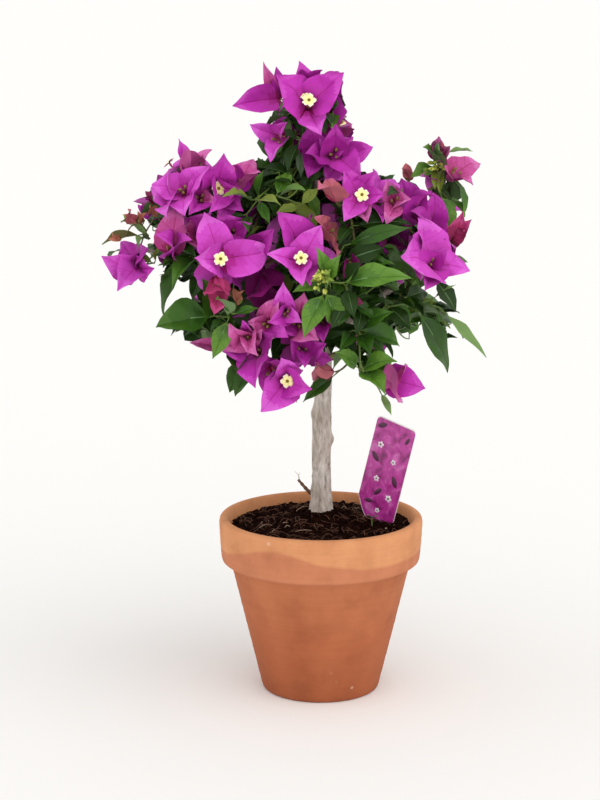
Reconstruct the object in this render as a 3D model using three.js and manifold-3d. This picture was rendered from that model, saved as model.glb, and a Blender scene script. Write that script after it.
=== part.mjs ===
// A small flowering standard tree in a terracotta pot: one leaning trunk, tapering boughs and
// a rounded open crown of separate foliage masses. Millimetres, +Z up, origin at the centre of
// the pot's underside, -Y the side the tag faces.
import * as THREE from "three";
import { mergeVertices } from "three/addons/utils/BufferGeometryUtils.js";
import Module from "manifold-3d";

const wasm = await Module();
wasm.setup();

// ---------------------------------------------------------------- driving dimensions
const JOIN_GAP = 0.3; // clearance left between touching solids
const POT = {
  height: 140,
  rimRadius: 80, // outside, at the top
  rimFootRadius: 78.3, // outside, at the collar's lower edge
  collar: 36.4, // height of the collar
  shoulderRadius: 71, // body, just under the collar
  footRadius: 46.4,
  mouthRadius: 73,
  floorRadius: 41,
  floor: 9,
  segments: 32,
};
const SOIL = { level: 131.5, mound: 8.5, moundAt: [2, 20], moundSpread: 34, ripple: 0.8, sectors: 28 };
const TRUNK = {
  sides: 14,
  // height, centre x, centre y, radius: taper, lean and root flare
  stations: [
    [112, 0.2, 18.5, 8.2],
    [128, 0.3, 18.4, 10.2],
    [138, 0.4, 18.2, 9.6],
    [148, 0.5, 18, 8.3],
    [160, 0.7, 17.8, 7.6],
    [178, 0.4, 17.4, 7.3],
    [196, 0.6, 16.8, 7.5],
    [214, 0.9, 16.1, 7.4],
    [232, 1.6, 15.2, 7.1],
    [250, 2, 14, 6.9],
    [266, 1.8, 12.6, 6.8],
    [282, 0.8, 10.6, 6],
    [300, -1, 8, 4.6],
  ],
  // height, bearing in degrees, height of the swelling, its half length
  knots: [
    [219, 190, 1.5, 5],
    [194, 12, 1.3, 5],
    [155, 195, 1.1, 4],
    [241, 300, 0.8, 5],
  ],
};
const TAG = {
  width: 36,
  tip: 106, // top edge to the point of the stake
  shoulderLeft: 69, // where the left side turns in to the stake
  shoulderRight: 84,
  corner: 3.5,
  thickness: 0.7,
  topRight: [74.6, -6.8, 208.4],
  across: [29.6, -18.9, -9.35],
  up: [0.2156, -0.139, 0.9665],
};
const LIMB_SIDES = 6;
const LIMB_SOCKET = 0.35; // clearance of a limb in the mass it enters
const CELL_GAP = 0.4; // half the gap between neighbouring masses

// Limbs: where each leaves the trunk, where it ends inside its mass, radii and the rise of its arc.
const LIMBS = {
  leader: { from: [-1, 8, 299.6], to: [-12, -26, 436], radii: [4.4, 2.1], arc: [10, 8, 0] },
  bough_upper_left: { from: [0, 9.5, 288], to: [-82, -42, 392], radii: [3.8, 1.7], arc: [-8, 6, 12] },
  bough_right_upper: { from: [0.5, 10, 287], to: [45, -36, 384], radii: [3.8, 1.7], arc: [8, 4, 4] },
  bough_left: { from: [1.5, 12, 272], to: [-136, -12, 352], radii: [4, 1.5], arc: [-6, 8, 16] },
  bough_lower_left: { from: [1.8, 12.6, 264], to: [-78, -46, 304], radii: [3.3, 1.5], arc: [-4, 2, 6] },
  bough_right: { from: [1.6, 12, 275], to: [76, -30, 344], radii: [3.8, 1.7], arc: [8, 6, 4] },
  bough_right_tip: { from: [0.8, 11, 281], to: [91, 4, 396], radii: [3, 1.3], arc: [14, 6, -6] },
  bough_low_right: { from: [1.9, 13, 261], to: [32, -40, 281], radii: [3, 1.3], arc: [2, -4, 4] },
  bough_front: { from: [0.8, 10, 279], to: [10, -82, 340], radii: [3.6, 1.5], arc: [2, -8, -2] },
  bough_front_left: { from: [0, 9, 290], to: [-58, -76, 356], radii: [3.3, 1.5], arc: [-4, -6, 4] },
  bough_back_left: { from: [1.2, 13, 278], to: [-94, 50, 362], radii: [3.7, 1.6], arc: [-6, 8, 4] },
  bough_back: { from: [0.4, 12, 284], to: [-16, 76, 350], radii: [3.6, 1.6], arc: [0, 8, 2] },
  bough_back_right: { from: [1.4, 13.4, 274], to: [62, 52, 352], radii: [3.7, 1.6], arc: [8, 6, 0] },
  twig_low_right_tip: { from: [44, -46, 268], to: [61, -40, 253], radii: [1.5, 1.1], arc: [0, 0, 1] },
};

// Foliage masses: centre, half sizes, and the points its furthest leaves and bracts reach.
const MASSES = {
  top: {
    at: [-10, -32, 455], half: [28, 28, 28], colour: 0xb23ab0, detail: 3,
    reach: [[-43, -28, 493], [-18, -26, 494], [12, -42, 485], [-67, -25, 460], [-52, -30, 446], [36, -45, 433], [-9, -68, 465]],
  },
  upper_left: {
    at: [-89, -48, 402], half: [34, 36, 30], colour: 0xa83ba6, detail: 3,
    reach: [[-105, -45, 437], [-81, -50, 431], [-125, -42, 404], [-112, -66, 374], [-62, -85, 396], [-95, -90, 401]],
  },
  left_spray: {
    at: [-141, -12, 352], half: [20, 26, 26], colour: 0xa03f9c,
    reach: [[-168, -5, 341], [-159, -18, 320], [-155, 0, 380], [-168, 5, 355], [-130, -10, 391]],
  },
  left_inner: {
    at: [-108, -26, 342], half: [24, 36, 28], colour: 0x3f6a20,
    reach: [[-119, -40, 305], [-105, -62, 334], [-114, -58, 356]],
  },
  centre_left: {
    at: [-66, -80, 358], half: [29, 32, 29], colour: 0xa437ab, detail: 3,
    reach: [[-88, -95, 392], [-40, -112, 363], [-61, -118, 344], [-82, -104, 339], [-93, -92, 370], [-78, -100, 318]],
  },
  centre_right: {
    at: [-20, -86, 354], half: [27, 32, 30], colour: 0xb046b2,
    reach: [[-41, -118, 361], [-33, -105, 390], [-11, -122, 342], [-7, -106, 385], [7, -104, 370], [-27, -108, 322]],
  },
  upper_centre: {
    at: [-38, -40, 402], half: [33, 44, 28], colour: 0x33561c,
    reach: [[-22, -82, 405], [-47, -60, 421], [-8, -80, 386], [-61, -84, 385]],
  },
  leaf_front: {
    at: [22, -84, 336], half: [29, 30, 34], colour: 0x4f7f26, detail: 3,
    reach: [[-5, -114, 367], [15, -120, 365], [-10, -112, 300], [63, -104, 342], [65, -84, 378], [15, -114, 307]],
  },
  right_upper: {
    at: [38, -42, 388], half: [38, 42, 29], colour: 0x9c3a9e, detail: 3,
    reach: [[22, -82, 411], [61, -50, 405], [57, -44, 414], [14, -86, 383], [84, -48, 387]],
  },
  right_tip: {
    at: [96, 2, 402], half: [21, 27, 28], colour: 0x94408c,
    reach: [[115, 5, 425], [88, 0, 437], [122, 5, 414], [104, -10, 386], [66, -2, 412], [113, -15, 367]],
  },
  right: {
    at: [82, -34, 348], half: [25, 34, 27], colour: 0xaa44b4,
    reach: [[74, -60, 380], [109, -56, 340], [60, -70, 350], [76, -66, 328], [102, -30, 327]],
  },
  right_droop: {
    at: [90, -22, 298], half: [25, 30, 25], colour: 0x3a6420,
    reach: [[126, -40, 272], [95, -50, 263], [104, -30, 308], [68, -40, 306]],
  },
  low_right: {
    at: [36, -44, 280], half: [23, 32, 24], colour: 0x416d22,
    reach: [[57, -66, 287], [55, -70, 276], [18, -66, 255], [60, -60, 306], [22, -66, 300]],
  },
  low_right_tip: {
    at: [62, -39, 250], half: [11, 11, 12], colour: 0xa8468e,
    reach: [[78, -42, 249], [63, -40, 267], [54, -45, 239], [53, -38, 229]],
  },
  lower_centre: {
    at: [-10, -52, 294], half: [30, 42, 28], colour: 0x7b2a77,
    reach: [[-10, -60, 246], [9, -78, 264], [-4, -100, 296]],
  },
  lower_left: {
    at: [-84, -48, 302], half: [34, 38, 26], colour: 0x3d6722,
    reach: [[-123, -60, 300], [-100, -62, 285], [-80, -72, 279], [-78, -92, 322], [-62, -92, 292]],
  },
  bottom_front: {
    at: [-40, -66, 266], half: [25, 28, 22], colour: 0xa93aa6,
    reach: [[-44, -75, 238], [-12, -88, 257], [-72, -75, 282], [-66, -56, 250], [-28, -94, 286]],
  },
  back_top: {
    at: [-2, 34, 422], half: [43, 42, 33], colour: 0xa53da3,
    reach: [[-50, 44, 462], [26, 26, 468], [58, 48, 430], [-64, 66, 420], [8, 92, 440]],
  },
  back_left: {
    at: [-98, 46, 368], half: [41, 42, 37], colour: 0xa23aa0,
    reach: [[-146, 24, 404], [-152, 70, 364], [-118, 100, 390], [-94, 66, 420], [-130, 84, 334]],
  },
  back_right: {
    at: [60, 54, 364], half: [42, 43, 37], colour: 0xa03c9d,
    reach: [[118, 50, 386], [102, 96, 360], [74, 106, 396], [64, 66, 416], [110, 80, 338]],
  },
  back_centre: {
    at: [-18, 84, 346], half: [42, 35, 40], colour: 0xa847a8,
    reach: [[-22, 136, 372], [-54, 128, 340], [20, 130, 336], [-6, 112, 402], [-34, 124, 300]],
  },
  back_low_left: {
    at: [-70, 46, 298], half: [39, 41, 28], colour: 0x3c6622,
    reach: [[-126, 62, 296], [-102, 92, 276], [-54, 102, 282], [-70, 38, 258], [-108, 16, 272]],
  },
  back_low_right: {
    at: [42, 44, 294], half: [39, 41, 28], colour: 0x426e24,
    reach: [[100, 56, 300], [80, 92, 280], [30, 98, 280], [54, 44, 254], [92, 14, 272]],
  },
};
const REACH_WIDTH = 15; // degrees over which a reaching point swells its mass
const MASS_SWELL = 0.2; // unevenness of a mass, as a share of its radius
const MASS_FILL = 1.06; // average radius of a mass over its half size
const MASS_DETAIL = 2;

// ---------------------------------------------------------------- small tools
const group = new THREE.Group();
const V = (a) => new THREE.Vector3(...a);
const clamp01 = (t) => Math.min(1, Math.max(0, t));
const smooth = (t) => t * t * (3 - 2 * t);

function hash(n) {
  let h = (n ^ 61 ^ (n >>> 16)) >>> 0;
  h = (h + (h << 3)) >>> 0;
  h = (h ^ (h >>> 4)) >>> 0;
  h = Math.imul(h, 0x27d4eb2d) >>> 0;
  return ((h ^ (h >>> 15)) >>> 0) / 4294967296;
}

// Smooth noise on directions: a few seeded plane waves.
function unevenness(d, seed) {
  let sum = 0;
  for (let k = 0; k < 6; k++) {
    const a = 6.283 * hash(seed * 31 + k * 3 + 1);
    const b = Math.acos(2 * hash(seed * 31 + k * 3 + 2) - 1);
    const f = 2.2 + 0.9 * k;
    const w = d.x * Math.sin(b) * Math.cos(a) + d.y * Math.sin(b) * Math.sin(a) + d.z * Math.cos(b);
    sum += Math.sin(f * w + 6.283 * hash(seed * 31 + k * 3 + 3)) / (1 + 0.35 * k);
  }
  return sum / 2.6;
}

function add(name, geometry, colour, roughness = 0.85) {
  const mesh = new THREE.Mesh(geometry, new THREE.MeshStandardMaterial({ color: colour, roughness }));
  mesh.name = name;
  group.add(mesh);
  return mesh;
}

// A closed solid from rings of points, each ring run anticlockwise seen from the last ring's end.
function lofted(rings) {
  const n = rings[0].length;
  const points = rings.flat();
  const faces = [];
  for (let r = 0; r + 1 < rings.length; r++)
    for (let i = 0; i < n; i++) {
      const j = (i + 1) % n;
      const a = r * n + i, b = r * n + j, c = (r + 1) * n + j, d = (r + 1) * n + i;
      faces.push(a, b, c, a, c, d);
    }
  const first = points.length;
  points.push(mean(rings[0]), mean(rings[rings.length - 1]));
  for (let i = 0; i < n; i++) {
    const j = (i + 1) % n;
    faces.push(first, j, i);
    faces.push(first + 1, (rings.length - 1) * n + i, (rings.length - 1) * n + j);
  }
  return indexed(points, faces);
}

function mean(points) {
  return points.reduce((s, p) => s.add(p), new THREE.Vector3()).multiplyScalar(1 / points.length);
}

function indexed(points, faces) {
  const g = new THREE.BufferGeometry();
  g.setAttribute("position", new THREE.Float32BufferAttribute(points.flatMap((p) => [p.x, p.y, p.z]), 3));
  g.setIndex(faces);
  return g;
}

function toManifold(geometry) {
  return new wasm.Manifold(
    new wasm.Mesh({
      numProp: 3,
      vertProperties: new Float32Array(geometry.attributes.position.array),
      triVerts: new Uint32Array(geometry.index.array),
    }),
  );
}

// The largest connected piece of a boolean result, as a geometry.
function fromManifold(solid) {
  const mesh = solid.getMesh();
  const points = [];
  for (let i = 0; i < mesh.vertProperties.length; i += mesh.numProp)
    points.push(new THREE.Vector3(mesh.vertProperties[i], mesh.vertProperties[i + 1], mesh.vertProperties[i + 2]));
  const g = mergeVertices(indexed(points, Array.from(mesh.triVerts)), 1e-4);
  const index = g.index.array;
  const parent = Array.from({ length: g.attributes.position.count }, (_, i) => i);
  const root = (i) => {
    while (parent[i] !== i) i = parent[i] = parent[parent[i]];
    return i;
  };
  for (let f = 0; f < index.length; f += 3) {
    parent[root(index[f])] = root(index[f + 1]);
    parent[root(index[f + 1])] = root(index[f + 2]);
  }
  const volumes = new Map();
  const p = (i) => new THREE.Vector3().fromBufferAttribute(g.attributes.position, i);
  for (let f = 0; f < index.length; f += 3) {
    const key = root(index[f]);
    const v = p(index[f]).dot(p(index[f + 1]).cross(p(index[f + 2]))) / 6;
    volumes.set(key, (volumes.get(key) ?? 0) + v);
  }
  const best = [...volumes.entries()].sort((a, b) => b[1] - a[1])[0][0];
  const kept = [];
  for (let f = 0; f < index.length; f += 3)
    if (root(index[f]) === best) kept.push(index[f], index[f + 1], index[f + 2]);
  const used = new Map();
  const out = [];
  const faces = kept.map((i) => {
    if (!used.has(i)) {
      used.set(i, out.length);
      out.push(p(i));
    }
    return used.get(i);
  });
  return indexed(out, faces);
}

// ---------------------------------------------------------------- pot
const mouthAt = (z) =>
  POT.floorRadius + ((POT.mouthRadius - POT.floorRadius) * (z - POT.floor)) / (POT.height - POT.floor);
{
  const h = POT.height;
  const c = h - POT.collar;
  const profile = [
    [0, 0],
    [POT.footRadius - 1.1, 0],
    [POT.footRadius, 1.1],
    [POT.shoulderRadius, c],
    [POT.rimFootRadius - 2, c + 0.3],
    [POT.rimFootRadius - 0.5, c + 1.5],
    [POT.rimFootRadius, c + 3.4],
    [POT.rimRadius, h - 4],
    [POT.rimRadius - 0.5, h - 1.6],
    [POT.rimRadius - 2.2, h - 0.2],
    [POT.mouthRadius + 2, h],
    [POT.mouthRadius + 0.5, h - 0.7],
    [mouthAt(h - 2.4), h - 2.4],
    [mouthAt(POT.floor + 2), POT.floor + 2],
    [POT.floorRadius - 2, POT.floor],
    [0, POT.floor],
  ].map(([x, y]) => new THREE.Vector2(x, y));
  const lathe = new THREE.LatheGeometry(profile, POT.segments);
  lathe.deleteAttribute("uv");
  lathe.deleteAttribute("normal");
  lathe.rotateX(Math.PI / 2);
  add("pot", tidy(lathe), 0xb9714a, 0.9);
}

// Merges seams and drops the collapsed faces on the axis.
function tidy(geometry) {
  const g = mergeVertices(geometry, 1e-3);
  const old = g.index.array;
  const faces = [];
  for (let f = 0; f < old.length; f += 3)
    if (old[f] !== old[f + 1] && old[f + 1] !== old[f + 2] && old[f] !== old[f + 2])
      faces.push(old[f], old[f + 1], old[f + 2]);
  g.setIndex(faces);
  return g;
}

// ---------------------------------------------------------------- trunk
function trunkAt(z) {
  const s = TRUNK.stations;
  const above = s.findIndex((row) => row[0] > z);
  const i = above < 0 ? s.length - 2 : Math.max(0, above - 1);
  const t = clamp01((z - s[i][0]) / (s[i + 1][0] - s[i][0]));
  return s[i].map((v, k) => v + (s[i + 1][k] - v) * t);
}

function trunkGeometry(grow) {
  const bottom = TRUNK.stations[0][0];
  const top = TRUNK.stations[TRUNK.stations.length - 1][0];
  const rings = [];
  const steps = 17;
  for (let k = 0; k <= steps; k++) {
    const z = bottom + ((top - bottom) * k) / steps;
    const [, x, y, r] = trunkAt(z);
    const ring = [];
    for (let i = 0; i < TRUNK.sides; i++) {
      const a = (i / TRUNK.sides) * 2 * Math.PI;
      let radius = r * (1 + 0.035 * Math.sin(3 * a + z * 0.045) + 0.025 * Math.sin(5 * a - z * 0.09 + 1));
      for (const [kz, bearing, size, half] of TRUNK.knots) {
        const turn = Math.cos(a - (bearing * Math.PI) / 180);
        radius += size * Math.exp(-(((z - kz) / half) ** 2)) * Math.max(0, turn) ** 4;
      }
      if (z < 150) radius += 1.3 * smooth(clamp01((150 - z) / 16)) * Math.max(0, Math.sin(2 * a + 0.6));
      ring.push(new THREE.Vector3(x + (radius + grow) * Math.cos(a), y + (radius + grow) * Math.sin(a), z + (k === 0 ? -grow : k === steps ? grow : 0)));
    }
    rings.push(ring);
  }
  return lofted(rings);
}
add("trunk", trunkGeometry(0), 0x8f857b);
const trunkClear = toManifold(trunkGeometry(JOIN_GAP));

// ---------------------------------------------------------------- limbs
function limbGeometry({ from, to, radii, arc }, grow, sides = LIMB_SIDES, steps = 8, seed = 1) {
  const a = V(from), b = V(to);
  const mid = a.clone().lerp(b, 0.5).add(V(arc));
  const curve = new THREE.QuadraticBezierCurve3(a, mid, b);
  const frames = curve.computeFrenetFrames(steps, false);
  const rings = [];
  for (let k = 0; k <= steps; k++) {
    const t = k / steps;
    const centre = curve.getPointAt(t);
    if (grow && k === 0) centre.addScaledVector(frames.tangents[0], -grow);
    if (grow && k === steps) centre.addScaledVector(frames.tangents[steps], grow);
    const swell = 1 + 0.12 * Math.sin(7 * t + seed) + (k === 0 ? 0.18 : 0);
    const r = (radii[0] + (radii[1] - radii[0]) * t) * swell + grow;
    const ring = [];
    for (let i = 0; i < sides; i++) {
      const w = (i / sides) * 2 * Math.PI;
      ring.push(centre.clone().addScaledVector(frames.normals[k], r * Math.cos(w)).addScaledVector(frames.binormals[k], r * Math.sin(w)));
    }
    rings.push(ring);
  }
  return lofted(rings);
}

const limbNames = Object.keys(LIMBS);
const sockets = {};
const clearances = [];
limbNames.forEach((name, n) => {
  const limb = LIMBS[name];
  const steps = name.startsWith("twig") ? 3 : 5;
  const outer = toManifold(limbGeometry(limb, 0, LIMB_SIDES, steps, n));
  let solid = outer.subtract(trunkClear);
  for (const earlier of clearances) solid = solid.subtract(earlier);
  add(name, fromManifold(solid), 0x7d6a55);
  clearances.push(toManifold(limbGeometry(limb, JOIN_GAP, LIMB_SIDES, steps, n)));
  sockets[name] = toManifold(limbGeometry(limb, LIMB_SOCKET, LIMB_SIDES, steps, n));
});

// A short dead side twig low on the trunk.
const STUB = { from: [-5.2, 17.5, 151], to: [-17.6, 14.5, 164.5], radii: [1.7, 1], arc: [-1.5, 0, -1.5] };
add("side_stub", fromManifold(toManifold(limbGeometry(STUB, 0, 6, 5, 3)).subtract(trunkClear)), 0x4a2b20);

// ---------------------------------------------------------------- soil
{
  const { level, mound, moundAt, moundSpread, ripple, sectors } = SOIL;
  const shares = [0.18, 0.36, 0.55, 0.75, 0.9, 1];
  const bottom = POT.floor + 2;
  const outerAt = (z) => mouthAt(z) * Math.cos(Math.PI / POT.segments) - JOIN_GAP;
  const heightAt = (x, y) => {
    const d = Math.hypot(x - moundAt[0], y - moundAt[1]) / moundSpread;
    return level + mound * Math.exp(-d * d * 1.6) + ripple * (Math.sin(x * 0.21 + 1) * Math.sin(y * 0.24) + 0.5 * Math.sin(x * 0.47 - y * 0.39));
  };
  const points = [];
  const faces = [];
  const ringOf = (radius, z) => {
    const start = points.length;
    for (let i = 0; i < sectors; i++) {
      const a = (i / sectors) * 2 * Math.PI;
      const x = radius * Math.cos(a), y = radius * Math.sin(a);
      points.push(new THREE.Vector3(x, y, z ?? heightAt(x, y)));
    }
    return start;
  };
  points.push(new THREE.Vector3(0, 0, bottom));
  const foot = ringOf(outerAt(bottom) - 0.2, bottom);
  const rims = shares.map((s) => ringOf(s * (outerAt(level - 1) - 0.2))).reverse();
  const crest = points.length;
  points.push(new THREE.Vector3(0, 0, heightAt(0, 0)));
  for (let i = 0; i < sectors; i++) {
    const j = (i + 1) % sectors;
    faces.push(0, foot + j, foot + i);
    let low = foot;
    for (const high of rims) {
      faces.push(low + i, low + j, high + j, low + i, high + j, high + i);
      low = high;
    }
    faces.push(low + i, low + j, crest);
  }
  let soil = toManifold(indexed(points, faces)).subtract(trunkClear);
  soil = soil.subtract(toManifold(tagGeometry(JOIN_GAP)));
  add("soil", fromManifold(soil), 0x2c1a12, 0.95);
}

// ---------------------------------------------------------------- tag
function tagGeometry(grow) {
  const w = TAG.width + grow, r = TAG.corner;
  const s = new THREE.Shape();
  s.moveTo(-grow, -r);
  s.absarc(r - grow, -r + grow, r, Math.PI, Math.PI / 2, true);
  s.lineTo(w - r, grow);
  s.absarc(w - r, -r + grow, r, Math.PI / 2, 0, true);
  s.lineTo(w, -TAG.shoulderRight - grow);
  s.lineTo(29 + grow, -TAG.tip - grow);
  s.lineTo(25 - grow, -TAG.tip - grow);
  s.lineTo(14 - grow, -88 - grow);
  s.lineTo(-grow, -TAG.shoulderLeft - grow);
  const g = new THREE.ExtrudeGeometry(s, { depth: TAG.thickness + 2 * grow, bevelEnabled: false, curveSegments: 3 });
  g.translate(-TAG.width, 0, -TAG.thickness / 2 - grow);
  const across = V(TAG.across).normalize();
  const up = V(TAG.up).addScaledVector(across, -across.dot(V(TAG.up))).normalize();
  const face = across.clone().cross(up);
  g.applyMatrix4(new THREE.Matrix4().makeBasis(across, up, face).setPosition(...TAG.topRight));
  g.deleteAttribute("uv");
  g.deleteAttribute("normal");
  return tidy(g);
}
add("tag", tagGeometry(0), 0x9c3a8a, 0.45);

// ---------------------------------------------------------------- foliage masses
// Each mass keeps to its own convex cell between its neighbours, so no two of them meet.
function massGeometry(name, order) {
  const mass = MASSES[name];
  const at = V(mass.at), half = V(mass.half);
  const base = mergeVertices(stripped(new THREE.IcosahedronGeometry(1, mass.detail ?? MASS_DETAIL)), 1e-4);
  const places = base.attributes.position;
  const radius = [];
  const dirs = [];
  const seed = 7 + order * 13;
  for (let i = 0; i < places.count; i++) {
    const d = new THREE.Vector3().fromBufferAttribute(places, i).normalize();
    const ellipsoid = 1 / Math.hypot(d.x / half.x, d.y / half.y, d.z / half.z);
    dirs.push(d);
    radius.push(ellipsoid * (MASS_FILL + MASS_SWELL * unevenness(d, seed) + 0.16 * (hash(seed + i * 17) - 0.5)));
  }
  for (const tip of mass.reach) {
    const out = V(tip).sub(at);
    const length = out.length();
    const d = out.normalize();
    let nearest = 0;
    dirs.forEach((e, i) => {
      const away = (Math.acos(clamp01(e.dot(d))) * 180) / Math.PI / REACH_WIDTH;
      const ellipsoid = 1 / Math.hypot(e.x / half.x, e.y / half.y, e.z / half.z);
      radius[i] += Math.max(0, length - ellipsoid) * 0.5 * Math.exp(-away * away);
      if (e.dot(d) > dirs[nearest].dot(d)) nearest = i;
    });
    dirs[nearest] = d;
    radius[nearest] = length;
  }
  const own = (half.x + half.y + half.z) / 3;
  const walls = Object.keys(MASSES)
    .filter((other) => other !== name)
    .map((other) => {
      const m = MASSES[other];
      const between = V(m.at).sub(at);
      const far = between.length();
      const theirs = (m.half[0] + m.half[1] + m.half[2]) / 3;
      return { normal: between.normalize(), reach: (far * far + own * own - theirs * theirs) / (2 * far) - CELL_GAP };
    });
  dirs.forEach((d, i) => {
    for (const { normal, reach } of walls) {
      const along = d.dot(normal);
      if (along > 1e-6) radius[i] = Math.min(radius[i], reach / along);
    }
    places.setXYZ(i, at.x + d.x * radius[i], at.y + d.y * radius[i], at.z + d.z * radius[i]);
  });
  return base;
}

function stripped(geometry) {
  geometry.deleteAttribute("uv");
  geometry.deleteAttribute("normal");
  return geometry;
}

Object.keys(MASSES).forEach((name, order) => {
  let solid = toManifold(massGeometry(name, order));
  for (const limb of limbNames) solid = solid.subtract(sockets[limb]);
  solid = solid.subtract(trunkClear);
  add(`${name}_foliage`, fromManifold(solid), MASSES[name].colour, 0.8);
});

export default group;
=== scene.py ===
import math
import random

import bpy
import numpy as np
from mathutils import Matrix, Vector
from mathutils.bvhtree import BVHTree


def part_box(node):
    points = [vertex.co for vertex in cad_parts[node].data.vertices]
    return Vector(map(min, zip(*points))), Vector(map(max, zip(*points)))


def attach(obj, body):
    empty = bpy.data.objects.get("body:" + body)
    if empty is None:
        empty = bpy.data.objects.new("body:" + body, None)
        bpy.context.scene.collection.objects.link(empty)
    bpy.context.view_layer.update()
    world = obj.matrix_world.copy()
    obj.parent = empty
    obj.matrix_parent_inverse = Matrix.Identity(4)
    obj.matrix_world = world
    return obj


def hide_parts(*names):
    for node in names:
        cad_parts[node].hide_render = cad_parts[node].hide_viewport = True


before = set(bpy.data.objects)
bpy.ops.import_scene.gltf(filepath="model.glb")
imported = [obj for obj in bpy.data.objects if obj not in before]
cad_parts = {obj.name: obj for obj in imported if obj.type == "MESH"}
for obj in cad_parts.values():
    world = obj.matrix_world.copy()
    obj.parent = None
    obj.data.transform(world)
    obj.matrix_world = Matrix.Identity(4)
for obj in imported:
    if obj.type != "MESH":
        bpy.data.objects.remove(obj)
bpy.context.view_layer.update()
scene = bpy.context.scene
scene.view_settings.view_transform = "Standard"
MM = 0.001
UP = np.array([0.0, 0.0, 1.0])

# ------------------------------------------------------------------ camera, light, floor
PITCH = math.radians(11.64)
AIM = np.array([-0.0164, 0.0, 0.232])
LOOK = np.array([0.0, math.cos(PITCH), -math.sin(PITCH)])
cam_data = bpy.data.cameras.new("camera")
cam = bpy.data.objects.new("camera", cam_data)
scene.collection.objects.link(cam)
cam.location = Vector(AIM - 1.6 * LOOK)
cam.rotation_euler = (math.pi / 2 - PITCH, 0, 0)
cam_data.sensor_width = 36
cam_data.lens = 92.43
cam_data.clip_start = 0.05
cam_data.clip_end = 1000
scene.camera = cam


def lin(c):
    """an 8-bit screen colour as the shader wants it"""
    return tuple(((v / 255) / 12.92 if v / 255 <= 0.04045 else ((v / 255 + 0.055) / 1.055) ** 2.4) for v in c) + (1.0,)


world = bpy.data.worlds.new("studio")
scene.world = world
world.use_nodes = True
back = next(n for n in world.node_tree.nodes if n.type == "BACKGROUND")
back.inputs["Color"].default_value = (1.0, 0.995, 0.99, 1)
back.inputs["Strength"].default_value = 1.0
# a white wall all round, a little dimmer overhead
up_co = world.node_tree.nodes.new("ShaderNodeTexCoord")
up_sep = world.node_tree.nodes.new("ShaderNodeSeparateXYZ")
up_ramp = world.node_tree.nodes.new("ShaderNodeValToRGB")
world.node_tree.links.new(up_co.outputs["Generated"], up_sep.inputs["Vector"])
world.node_tree.links.new(up_sep.outputs["Z"], up_ramp.inputs["Fac"])
world.node_tree.links.new(up_ramp.outputs["Color"], back.inputs["Color"])
up_ramp.color_ramp.elements[0].position, up_ramp.color_ramp.elements[0].color = 0.22, (1.0, 0.995, 0.99, 1)
up_ramp.color_ramp.elements[1].position, up_ramp.color_ramp.elements[1].color = 0.62, (0.76, 0.757, 0.753, 1)


# one broad, soft light from the upper front right, and a weak one from the left: both even over the whole floor
def sun(name, towards, strength, spread, colour=(1, 1, 1)):
    data = bpy.data.lights.new(name, "SUN")
    data.energy = strength
    data.angle = math.radians(spread)
    data.color = colour
    ob = bpy.data.objects.new(name, data)
    scene.collection.objects.link(ob)
    ob.rotation_euler = Vector(towards).to_track_quat("-Z", "Y").to_euler()


sun("key", (-0.5, 0.72, -0.85), 1.12, 80, (1.0, 0.988, 0.975))
sun("side", (0.85, 0.35, -0.55), 0.28, 70)


def nodes_of(name):
    m = bpy.data.materials.new(name)
    m.use_nodes = True
    nt = m.node_tree
    bsdf = next(n for n in nt.nodes if n.type == "BSDF_PRINCIPLED")
    return m, nt, bsdf


def add(nt, kind, **values):
    n = nt.nodes.new(kind)
    for k, v in values.items():
        if k in n.inputs:
            n.inputs[k].default_value = v
        else:
            setattr(n, k, v)
    return n


def bump_chain(nt, bsdf, heights):
    """heights: (socket, strength, distance) one on top of the other"""
    last = None
    for socket, strength, distance in heights:
        b = add(nt, "ShaderNodeBump")
        b.inputs["Strength"].default_value = strength
        b.inputs["Distance"].default_value = distance
        nt.links.new(socket, b.inputs["Height"])
        if last is not None:
            nt.links.new(last.outputs["Normal"], b.inputs["Normal"])
        last = b
    nt.links.new(last.outputs["Normal"], bsdf.inputs["Normal"])


def ramp(nt, socket, stops):
    r = add(nt, "ShaderNodeValToRGB")
    el = r.color_ramp.elements
    while len(el) < len(stops):
        el.new(0.5)
    for e, (p, c) in zip(el, stops):
        e.position = p
        e.color = c
    nt.links.new(socket, r.inputs["Fac"])
    return r


floor_mat, nt, bsdf = nodes_of("floor_paper")
coords = add(nt, "ShaderNodeTexCoord")
grain = add(nt, "ShaderNodeTexNoise", Scale=260.0, Detail=4.0)
nt.links.new(coords.outputs["Object"], grain.inputs["Vector"])
bsdf.inputs["Base Color"].default_value = lin((246, 245, 243))
bsdf.inputs["Roughness"].default_value = 0.85
bsdf.inputs["Specular IOR Level"].default_value = 0.1
bump_chain(nt, bsdf, [(grain.outputs["Fac"], 0.05, 0.0004)])
me = bpy.data.meshes.new("floor")
R_FLOOR = 400.0
me.from_pydata([(-R_FLOOR, -R_FLOOR, 0), (R_FLOOR, -R_FLOOR, 0), (R_FLOOR, R_FLOOR, 0), (-R_FLOOR, R_FLOOR, 0)], [], [(0, 1, 2, 3)])
me.materials.append(floor_mat)
floor = bpy.data.objects.new("floor", me)
scene.collection.objects.link(floor)


# ------------------------------------------------------------------ small numeric helpers
def unit(v):
    v = np.asarray(v, float)
    n = np.linalg.norm(v)
    return v / n if n > 1e-12 else np.array([0.0, 0.0, 1.0])


def hashed(ix, iy, iz, seed):
    n = (ix.astype(np.int64) * 374761393 + iy.astype(np.int64) * 668265263 + iz.astype(np.int64) * 2147483647 + seed * 974634777) & 0x7FFFFFFF
    n = ((n ^ (n >> 13)) * 1274126177) & 0x7FFFFFFF
    n = n ^ (n >> 16)
    return (n & 0xFFFFF) / 0xFFFFF


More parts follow.
